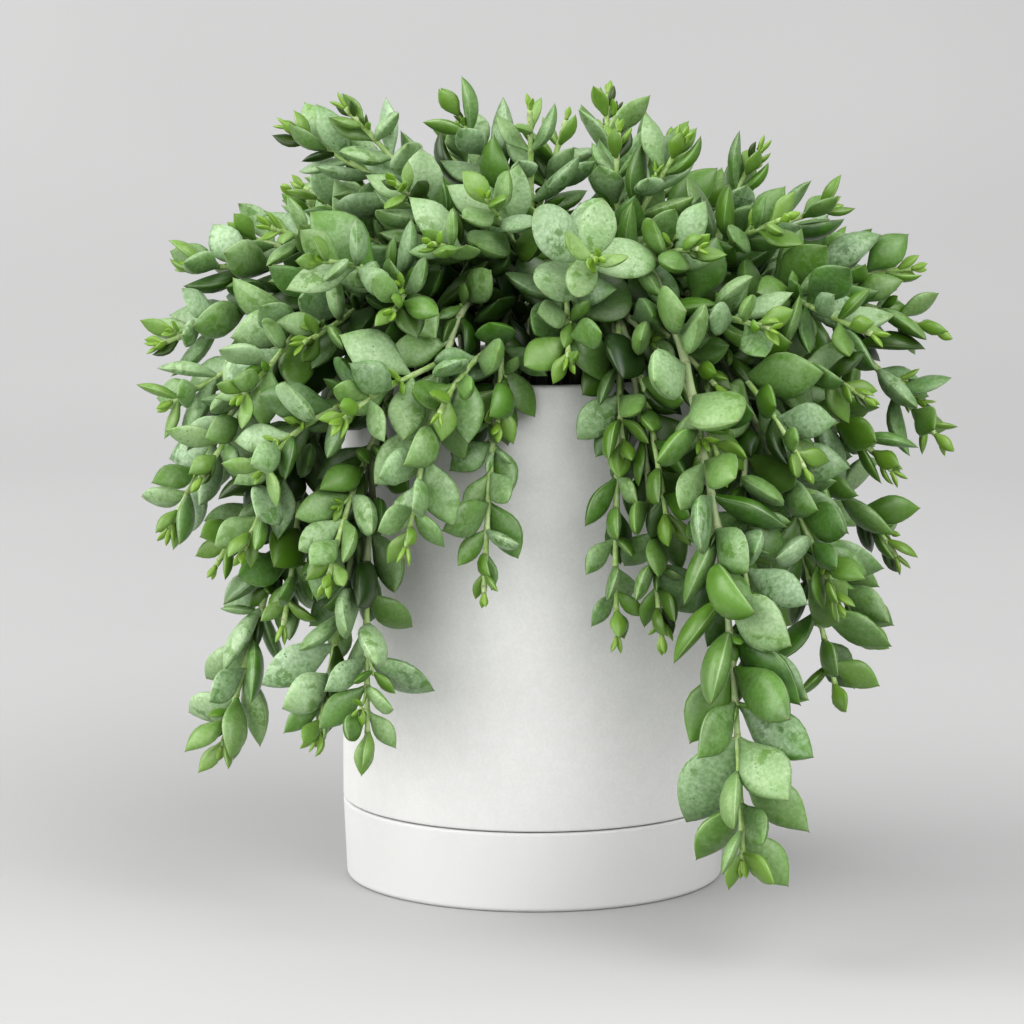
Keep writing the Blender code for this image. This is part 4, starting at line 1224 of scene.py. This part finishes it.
def wax_of(shoot, leaf, draw):
    """How much wax a leaf wears. Old leaves and those on the sunny left and top wear the most, and
    many are rubbed green. The extra wax on the left and top is partly painted light: it pales the
    leaves on the side of the key light, and leaves those on the shaded right darker."""
    if leaf.index < WAXLESS_PAIRS:
        return 0.0
    if shoot.name == "stem_rosette":
        return draw.uniform(*ROSETTE_WAX)
    height = max(leaf.base.z - POT_TOP, 0.0)
    # Partly painted light: more wax on the key light's side, the left and top, pales those leaves.
    sun = clamp(0.5 - leaf.base.x / SUNNY_WIDTH + height / SUNNY_HEIGHT)
    waxy = draw.random() < WAXY_SHARE * (0.5 + sun)
    level = draw.uniform(*(HIGH_WAX if waxy else LOW_WAX))
    return level * (SHADY_WAX + SUN_WAX * sun) * min(leaf.index / WAXING_PAIRS, 1.0)


def dress_shoot(skin, shoot, sprouts, canopy):
    """Lays down a shoot's stem, its closed tip, its leaves and its side shoots."""
    skin_stem(skin, shoot, canopy)
    skin_bud(skin, shoot)
    skipped = 1 + round(random.Random(shoot.name + " tip").random())
    for leaf in shoot.leaves:
        if leaf.index < skipped:
            continue
        draw = random.Random(f"{shoot.name} {leaf.index} {leaf.side} look")
        youth = max(0.0, 1 - leaf.index / YOUTH_PAIRS)
        skin_leaf(skin, leaf, wax_of(shoot, leaf, draw), youth ** YOUTH_FADE, draw)
    draw = random.Random(shoot.name + " sprouts")
    for sprout in sprouts:
        skin_sprout(skin, sprout, draw)


def dress_stems(shoots, sprouts, inner, canopy, finishes):
    """One fine piece for each rooted stem with its forks, and one for all the inner shoots."""
    for root in shoots:
        if root.parent is not None:
            continue
        skin = Skin()
        for shoot in shoots:
            if shoot is root or shoot.parent == root.name:
                dress_shoot(skin, shoot, sprouts[shoot.name], canopy)
        piece = skin.piece("leafy_" + root.name, finishes)
        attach(piece, "root")
        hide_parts(root.name)
    skin = Skin()
    for shoot in inner:
        dress_shoot(skin, shoot, [], canopy)
    piece = skin.piece("leafy_inner_shoots", finishes)
    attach(piece, "root")


def rounded(corners):
    """A profile through corners of (radius, height, rounding), with an arc at each and a point
    close by it, which keeps the flats beside it flat to the light."""
    made = []
    for i, (r, z, size) in enumerate(corners):
        here = Vector((r, z))
        before = Vector(corners[i - 1][:2]) - here
        after = Vector(corners[(i + 1) % len(corners)][:2]) - here
        if size == 0:
            made.append((r, z))
            continue
        a = before.normalized()
        b = after.normalized()
        half = a.angle(b) / 2
        back = size / math.tan(half)
        middle = here + (a + b).normalized() * (size / math.sin(half))
        start = here + a * back
        end = here + b * back
        made.append(tuple(start + a * min(FLAT_MARGIN, before.length * FLAT_MARGIN_SHARE)))
        from_middle = start - middle
        turn = from_middle.angle_signed(end - middle)
        for k in range(ARC_CUTS + 1):
            step = from_middle.copy()
            step.rotate(Matrix.Rotation(-turn * k / ARC_CUTS, 2))
            made.append(tuple(middle + step))
        made.append(tuple(end + b * min(FLAT_MARGIN, after.length * FLAT_MARGIN_SHARE)))
    return made


def hoop(radius, height, sides):
    """A level ring of points."""
    return [Vector((radius * math.cos(angle), radius * math.sin(angle), height)) for angle in turns(sides)]


def fine_piece(name, shape, finish, smooth=True):
    mesh = bpy.data.meshes.new(name)
    mesh.from_pydata(shape[0], [], shape[1])
    mesh.materials.append(finish)
    if smooth:
        mesh.shade_smooth()
    return linked(name, mesh)


def dress_saucer(finish):
    inner = POT_RADIUS - SAUCER_WALL
    profile = rounded([
        (0, SAUCER_FLOOR, 0),
        (inner, SAUCER_FLOOR, SAUCER_INNER_ROUND),
        (inner, SAUCER_TOP, SAUCER_EDGE_ROUND),
        (POT_RADIUS, SAUCER_TOP, SAUCER_EDGE_ROUND),
        (SAUCER_FOOT_RADIUS, 0, FOOT_ROUND),
        (0, 0, 0),
    ])
    rings = [hoop(radius, height, TURNED_SIDES) for radius, height in reversed(profile[1:-1])]
    shape = loft(rings, Vector(), Vector((0, 0, SAUCER_FLOOR)))
    piece = fine_piece("fine_saucer", shape, finish)
    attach(piece, "root")
    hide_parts("saucer")


def dress_pot(finish):
    """The pot steps in at its foot to stand inside the saucer, and has a drain hole in its floor."""
    foot = POT_RADIUS - SAUCER_WALL - FIT_GAP
    foot_bottom = SAUCER_FLOOR + FIT_GAP
    shoulder = SAUCER_TOP + SEAM
    floor = foot_bottom + POT_WALL
    inner = POT_RADIUS - POT_WALL
    profile = rounded([
        (POT_RADIUS, POT_TOP, RIM_ROUND),
        (POT_RADIUS, shoulder, EDGE_ROUND),
        (foot, shoulder, STEP_ROUND),
        (foot, foot_bottom, EDGE_ROUND),
        (DRAIN_RADIUS, foot_bottom, EDGE_ROUND),
        (DRAIN_RADIUS, floor, EDGE_ROUND),
        (foot - POT_WALL, floor, EDGE_ROUND),
        (foot - POT_WALL, shoulder, EDGE_ROUND),
        (inner, shoulder + POT_WALL, EDGE_ROUND),
        (inner, POT_TOP, RIM_ROUND),
    ])
    points = []
    for radius, height in reversed(profile):
        points += hoop(radius, height, TURNED_SIDES)
    faces = []
    for low in range(0, len(points), TURNED_SIDES):
        high = (low + TURNED_SIDES) % len(points)
        for k in range(TURNED_SIDES):
            n = (k + 1) % TURNED_SIDES
            faces.append((low + k, low + n, high + n, high + k))
    piece = fine_piece("fine_pot", (points, faces), finish)
    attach(piece, "root")
    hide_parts("pot")


def soil_height(x, y):
    """The uneven top of the soil, which heaps a little in the middle and sinks at the wall."""
    rough = noise.fractal(Vector((x, y, 0)) * SOIL_ROUGHNESS, *SOIL_FRACTAL) * SOIL_RELIEF
    return SOIL_TOP - MM + rough - SOIL_SINKS * (math.hypot(x, y) / POT_RADIUS) ** 4


def dress_soil(finish):
    """The soil with an uneven top and loose crumbs, some half sunk."""
    shoulder = SAUCER_TOP + SEAM + FIT_GAP
    bottom = SAUCER_FLOOR + 2 * FIT_GAP + POT_WALL
    wide = POT_RADIUS - POT_WALL - FIT_GAP
    narrow = POT_RADIUS - SAUCER_WALL - POT_WALL - 2 * FIT_GAP
    below = ((narrow, bottom), (narrow, shoulder), (wide, shoulder + POT_WALL))
    rings = [hoop(radius, height, SOIL_SIDES) for radius, height in below]
    for j in range(SOIL_RINGS, 0, -1):
        ring = hoop(wide * j / SOIL_RINGS, 0, SOIL_SIDES)
        for spot in ring:
            spot.z = soil_height(spot.x, spot.y)
        rings.append(ring)
    points, faces = loft(rings, Vector((0, 0, bottom)), Vector((0, 0, soil_height(0, 0))))
    draw = random.Random("crumbs")
    crumb = bmesh.new()
    bmesh.ops.create_icosphere(crumb, subdivisions=1, radius=1.0)
    corners = [spot.co.copy() for spot in crumb.verts]
    facets = [[spot.index for spot in facet.verts] for facet in crumb.faces]
    crumb.free()
    for _ in range(CRUMBS):
        reach = (wide - CRUMBS_OFF_WALL) * math.sqrt(draw.random())
        angle = draw.uniform(0, 2 * math.pi)
        x = reach * math.cos(angle)
        y = reach * math.sin(angle)
        size = min(draw.expovariate(CRUMB_RATE) + CRUMB_SIZES[0], CRUMB_SIZES[1]) * MM
        middle = Vector((x, y, soil_height(x, y) + CRUMB_SUNK * size))
        axis = (draw.random(), draw.random(), draw.random())
        turn = Quaternion(axis, draw.uniform(0, CRUMB_TURN)).to_matrix()
        spots = []
        for corner in corners:
            rough = Vector((draw.gauss(0, 1), draw.gauss(0, 1), draw.gauss(0, 1)))
            spots.append(middle + turn @ (corner * size) + rough * (CRUMB_ROUGHNESS * size))
        join(points, faces, (spots, facets))
    piece = fine_piece("fine_soil", (points, faces), finish, smooth=False)
    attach(piece, "root")
    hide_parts("soil")


class Value:
    """The output of a node, which plain sums join to the next node."""

    def __init__(self, tree, socket):
        self.tree = tree
        self.socket = socket

    def work(self, operation, a, b):
        return node(self.tree, "ShaderNodeMath", {0: a, 1: b}, 0, operation=operation)

    def __add__(self, other):
        return self.work("ADD", self, other)

    def __sub__(self, other):
        return self.work("SUBTRACT", self, other)

    def __rsub__(self, other):
        return self.work("SUBTRACT", other, self)

    def __mul__(self, other):
        return self.work("MULTIPLY", self, other)

    def __pow__(self, other):
        return self.work("POWER", self, other)

    def highest(self, other):
        return self.work("MAXIMUM", self, other)

    def part(self, name):
        return node(self.tree, "ShaderNodeSeparateColor", {"Color": self}, name)

    def span(self, low, high, start=0.0, end=1.0):
        """Runs smoothly from start to end as the value goes from low to high."""
        inputs = {"Value": self, "From Min": low, "From Max": high, "To Min": start, "To Max": end}
        return node(self.tree, "ShaderNodeMapRange", inputs, "Result", interpolation_type="SMOOTHSTEP")


def put(tree, socket, value):
    """Sets a socket to a value, or links it to a node's output."""
    if isinstance(value, Value):
        tree.links.new(value.socket, socket)
    else:
        socket.default_value = value


def node(tree, kind, inputs, output, **settings):
    made = tree.nodes.new(kind)
    for key, value in settings.items():
        setattr(made, key, value)
    for key, value in inputs.items():
        put(tree, made.inputs[key], value)
    return Value(tree, made.outputs[output])


def colour(screen):
    """A colour as a screen shows it, 0 to 255, for a shader."""
    parts = []
    for part in screen:
        share = part / 255
        parts.append(share / 12.92 if share < 0.04045 else ((share + 0.055) / 1.055) ** 2.4)
    return (*parts, 1)


class Paint:
    """A material under way. A pattern's scale is its number of waves to the metre, the distance of a
    bump is in metres, and every other number is a share from 0 to 1 or a power."""

    def __init__(self, name):
        self.material = bpy.data.materials.new(name)
        self.material.use_nodes = True
        self.tree = self.material.node_tree

    def stored(self, name, output):
        return node(self.tree, "ShaderNodeAttribute", {}, output, attribute_name=name)

    def place(self):
        return node(self.tree, "ShaderNodeTexCoord", {}, "Object")

    def noise(self, where, scale, detail=2.0, rough=0.5):
        inputs = {"Vector": where, "Scale": scale, "Detail": detail, "Roughness": rough}
        return node(self.tree, "ShaderNodeTexNoise", inputs, "Fac")

    def cells(self, where, scale):
        return node(self.tree, "ShaderNodeTexVoronoi", {"Vector": where, "Scale": scale}, "Distance")

    def mix(self, share, a, b):
        """From a to b. Each is a colour of the list above or a value."""
        a, b = [colour(one) if isinstance(one, tuple) else one for one in (a, b)]
        return node(self.tree, "ShaderNodeMix", {0: share, 6: a, 7: b}, 2, data_type="RGBA")

    def bump(self, height, strength, distance, normal=None):
        inputs = {"Height": height, "Strength": strength, "Distance": distance}
        if normal is not None:
            inputs["Normal"] = normal
        return node(self.tree, "ShaderNodeBump", inputs, "Normal")

    def finish(self, body, rough, shine, normal=None):
        shader = self.tree.nodes["Principled BSDF"]
        put(self.tree, shader.inputs["Base Color"], body)
        put(self.tree, shader.inputs["Roughness"], rough)
        put(self.tree, shader.inputs["Specular IOR Level"], shine)
        if normal is not None:
            put(self.tree, shader.inputs["Normal"], normal)
        return self.material


def leaf_finish():
    """Green flesh under a bloom of pale wax, which is speckled and rubbed away in patches. Leaves that
    little light reaches are darkened as painted shade, and the margin carries a partly painted rim
    highlight.
    """
    p = Paint("waxy_succulent_leaf")
    grain = p.stored("grain", "Vector")
    trait = p.stored("trait", "Color")
    wax = trait.part("Red")
    youth = trait.part("Green")
    margin = trait.part("Blue")
    tip = p.stored("trait", "Alpha")
    shade = p.stored("shade", "Color")
    chance = shade.part("Red")
    under = shade.part("Green")
    along = shade.part("Blue")
    lit = p.stored("shade", "Alpha")

    # How much wax covers the flesh, and what has worn away.
    soft = p.noise(grain, 50.0) - 0.5
    powder = p.noise(grain, 700.0, 3.0, 0.6).span(0.25, 0.75)
    cover = wax + soft * 0.4
    cover = cover + (powder - 0.5) * 0.1
    cover = (cover - under * 0.12).span(0.0, 1.0)
    end = along.span(0.7, 1.0) * 0.4
    zone = (p.noise(grain, 70.0) + along * 0.12).span(0.56, 0.66)
    rubbed = p.noise(grain, 260.0, 4.0, 0.65).span(0.5, 0.56) * zone
    spots = p.cells(grain, 520.0)
    where = (p.noise(grain, 130.0) + along * 0.1).span(0.58, 0.7)
    speckle = spots.span(0.3, 0.16) * where
    loss = (speckle * 0.7).highest(rubbed * 0.65).highest(end)
    cover = cover * (1.0 - loss)

    flesh = p.mix(p.noise(grain, 60.0).span(0.3, 0.7), FLESH_DARK, FLESH)
    flesh = p.mix(chance * 0.6, flesh, FLESH_WARM)
    bloom = p.mix(powder, BLOOM_DARK, BLOOM)
    bloom = p.mix(chance * 0.45, bloom, BLOOM_WARM)
    skin = p.mix(cover * 0.9, flesh, bloom)
    skin = p.mix(youth, skin, p.mix(along.span(0.0, 0.9), YOUNG_BASE, YOUNG))
    # The pale line at the margin, partly the leaf's own pale edge and partly a painted highlight along its
    # rim.
    skin = p.mix(margin ** 9.0 * 0.42, skin, PALE_MARGIN_AND_RIM_HIGHLIGHT)
    skin = p.mix(tip ** 2.0 * 0.35, skin, TIP)
    # Painted shade: a leaf that little light reaches is darkened towards the deep shade colour.
    deep = p.mix(0.82, skin, DEEP_SHADE)
    skin = p.mix(lit.span(-0.05, 0.6), deep, skin)

    relief = p.noise(grain, 2600.0) * 0.35 + cover * 0.3
    swell = p.bump(p.noise(grain, 120.0, 1.0), 0.12, 0.0012)
    return p.finish(skin, cover.span(0.0, 1.0, 0.37, 0.52), 0.6, p.bump(relief, 0.3, 0.00012, swell))


def stem_finish():
    """Pale green stems, yellower when young, tan and ringed where leaves have stood. Where little light
    reaches them, they are painted near black as painted shade.
    """
    p = Paint("pale_succulent_stem")
    grain = p.stored("grain", "Vector")
    trait = p.stored("trait", "Color")
    youth = trait.part("Green")
    ring = trait.part("Blue")
    mottle = p.noise(grain, 300.0, 3.0, 0.65).span(0.35, 0.68)
    old = p.mix(mottle, STEM_OLD, STEM_TAN)
    fresh = p.mix(mottle, STEM_YOUNG, STEM_PALE)
    bark = p.mix(youth.span(0.0, 0.45), old, fresh)
    scar = ring.span(0.55, 0.95) * p.noise(grain, 900.0).span(0.4, 0.6)
    bark = p.mix(scar * 0.55, bark, STEM_SCAR)
    # Painted shade: stems that little light reaches, and all inside the pot, are darkened towards near
    # black.
    bark = p.mix(p.stored("shade", "Alpha").span(0.0, 0.45), STEM_PAINTED_SHADE, bark)
    return p.finish(bark, mottle.span(0.0, 1.0, 0.5, 0.7), 0.4,
                    p.bump(p.noise(grain, 1500.0, 3.0), 0.35, 0.00015))


def ceramic_finish():
    """Matte white, with a faint mottle and a fine dry grain. The pot's inside wall above the soil is
    painted near black as painted shade, and the pot and saucer are painted darker towards the bottom as
    painted shade.
    """
    p = Paint("matte_white_ceramic")
    where = p.place()
    broad = p.noise(where, 14.0, 3.0, 0.6).span(0.3, 0.7)
    mottle = p.noise(where, 160.0, 4.0, 0.7).span(0.3, 0.7)
    body = p.mix(broad, POT_SHADE, POT_WHITE)
    body = p.mix(mottle * 0.3, body, POT_LIGHT)
    body = p.mix(p.noise(where, 900.0, 2.0, 0.6).span(0.35, 0.65) * POT_GRAIN, body, POT_PIT)
    pits = p.cells(where, 700.0).span(0.12, 0.05)
    pits = pits * p.noise(where, 260.0).span(0.6, 0.68)
    body = p.mix(pits * 0.25, body, POT_PIT)
    flat = node(p.tree, "ShaderNodeVectorMath", {0: where, 1: (1, 1, 0)}, 0, operation="MULTIPLY")
    far = node(p.tree, "ShaderNodeVectorMath", {0: flat}, "Value", operation="LENGTH")
    # Painted shade: the inside wall between the soil and the rim is painted near black, where the foliage
    # shades it.
    high = where.part("Blue")
    inside = far.span(POT_RADIUS - 0.7 * POT_WALL, POT_RADIUS - 0.9 * POT_WALL)
    below = (high + p.noise(where, 90.0, 3.0) * (6 * MM)).span(POT_TOP, POT_TOP - 3 * MM)
    painted_inside_shade = inside * below * high.span(SAUCER_TOP, SAUCER_TOP + POT_WALL)
    # Painted shade: the pot and saucer grow darker towards the bottom, below twice the saucer's height.
    body = p.mix(high.span(0.0, 2 * SAUCER_TOP), POT_PAINTED_LOW_SHADE, body)
    body = p.mix(painted_inside_shade * 0.94, body, POT_INSIDE_PAINTED_SHADE)
    relief = p.noise(where, 1700.0, 3.0, 0.65) - pits * 0.8
    wave = p.bump(p.noise(where, 22.0), 0.2, 0.0015)
    return p.finish(body, mottle.span(0.0, 1.0, 0.66, 0.8), 0.35, p.bump(relief, 0.35, 0.00018, wave))


def soil_finish():
    """Dark moist potting mix with lighter fibres and grit."""
    p = Paint("dark_potting_soil")
    where = p.place()
    grit = p.noise(where, 450.0, 4.0, 0.7).span(0.35, 0.7)
    body = p.mix(grit, SOIL_DARK, SOIL_BROWN)
    body = p.mix(p.cells(where, 330.0).span(0.2, 0.1) * 0.5, body, SOIL_GRIT)
    return p.finish(body, grit.span(0.0, 1.0, 0.8, 0.95), 0.25, p.bump(grit, 0.8, 0.0006))


def stage_floor():
    """A pale seamless floor that curves up behind."""
    p = Paint("pale_backdrop")
    tone = p.noise(p.place(), 1.3).span(0.2, 0.8)
    line = [(FLOOR_FRONT, 0.0), (FLOOR_BACK, 0.0)]
    for k in range(1, BACKDROP_CUTS + 1):
        angle = math.pi / 2 * k / BACKDROP_CUTS
        line.append((FLOOR_BACK + BACKDROP_BEND * math.sin(angle), BACKDROP_BEND * (1 - math.cos(angle))))
    line.append((FLOOR_BACK + BACKDROP_BEND, BACKDROP_TOP))
    points = [(x, y, z) for x in (-FLOOR_HALF_WIDTH, FLOOR_HALF_WIDTH) for y, z in line]
    count = len(line)
    faces = [(k, k + count, k + count + 1, k + 1) for k in range(count - 1)]
    mesh = bpy.data.meshes.new("studio_floor")
    mesh.from_pydata(points, [], faces)
    mesh.materials.append(p.finish(p.mix(tone, FLOOR_SHADE, FLOOR), 0.9, 0.15))
    mesh.shade_smooth()
    linked("studio_floor", mesh)


def light(name, place, aim, size, power, tint):
    lamp = bpy.data.lights.new(name, "AREA")
    lamp.shape = "RECTANGLE"
    lamp.size, lamp.size_y = size
    lamp.energy = power
    lamp.color = tint
    made = linked(name, lamp)
    made.location = place
    made.rotation_euler = (Vector(aim) - Vector(place)).to_track_quat("-Z", "Y").to_euler()
    made.visible_camera = False


def light_and_camera():
    """Soft light from the upper left, and the camera of the photograph."""
    scene = bpy.context.scene
    world = bpy.data.worlds.new("studio")
    world.use_nodes = True
    sky = world.node_tree.nodes["Background"]
    sky.inputs["Color"].default_value = (1, 1, 1, 1)
    sky.inputs["Strength"].default_value = WORLD_STRENGTH
    scene.world = world
    for name, values in LIGHTS.items():
        light(name, *values)
    lens = bpy.data.cameras.new("camera")
    lens.sensor_width = SENSOR_WIDTH
    lens.lens = CAMERA_PIXELS / PHOTO_WIDTH * SENSOR_WIDTH
    lens.clip_end = CAMERA_SIGHT
    camera = linked("camera", lens)
    camera.location = CAMERA_PLACE
    camera.rotation_euler = (math.radians(CAMERA_TILT), 0, 0)
    scene.camera = camera
    scene.view_settings.view_transform = "Standard"
    scene.view_settings.look = "Medium High Contrast"


def main():
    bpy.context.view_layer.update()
    light_and_camera()
    stage_floor()
    ceramic = ceramic_finish()
    dress_saucer(ceramic)
    dress_pot(ceramic)
    dress_soil(soil_finish())
    shoots = front_shoots() + back_shoots()
    thicket = grow(shoots)
    sprouts = grow_sprouts(thicket, shoots)
    inner = grow_inner(thicket)
    canopy = light_leaves(shoots + inner, sprouts)
    dress_stems(shoots, sprouts, inner, canopy, [leaf_finish(), stem_finish()])


main()
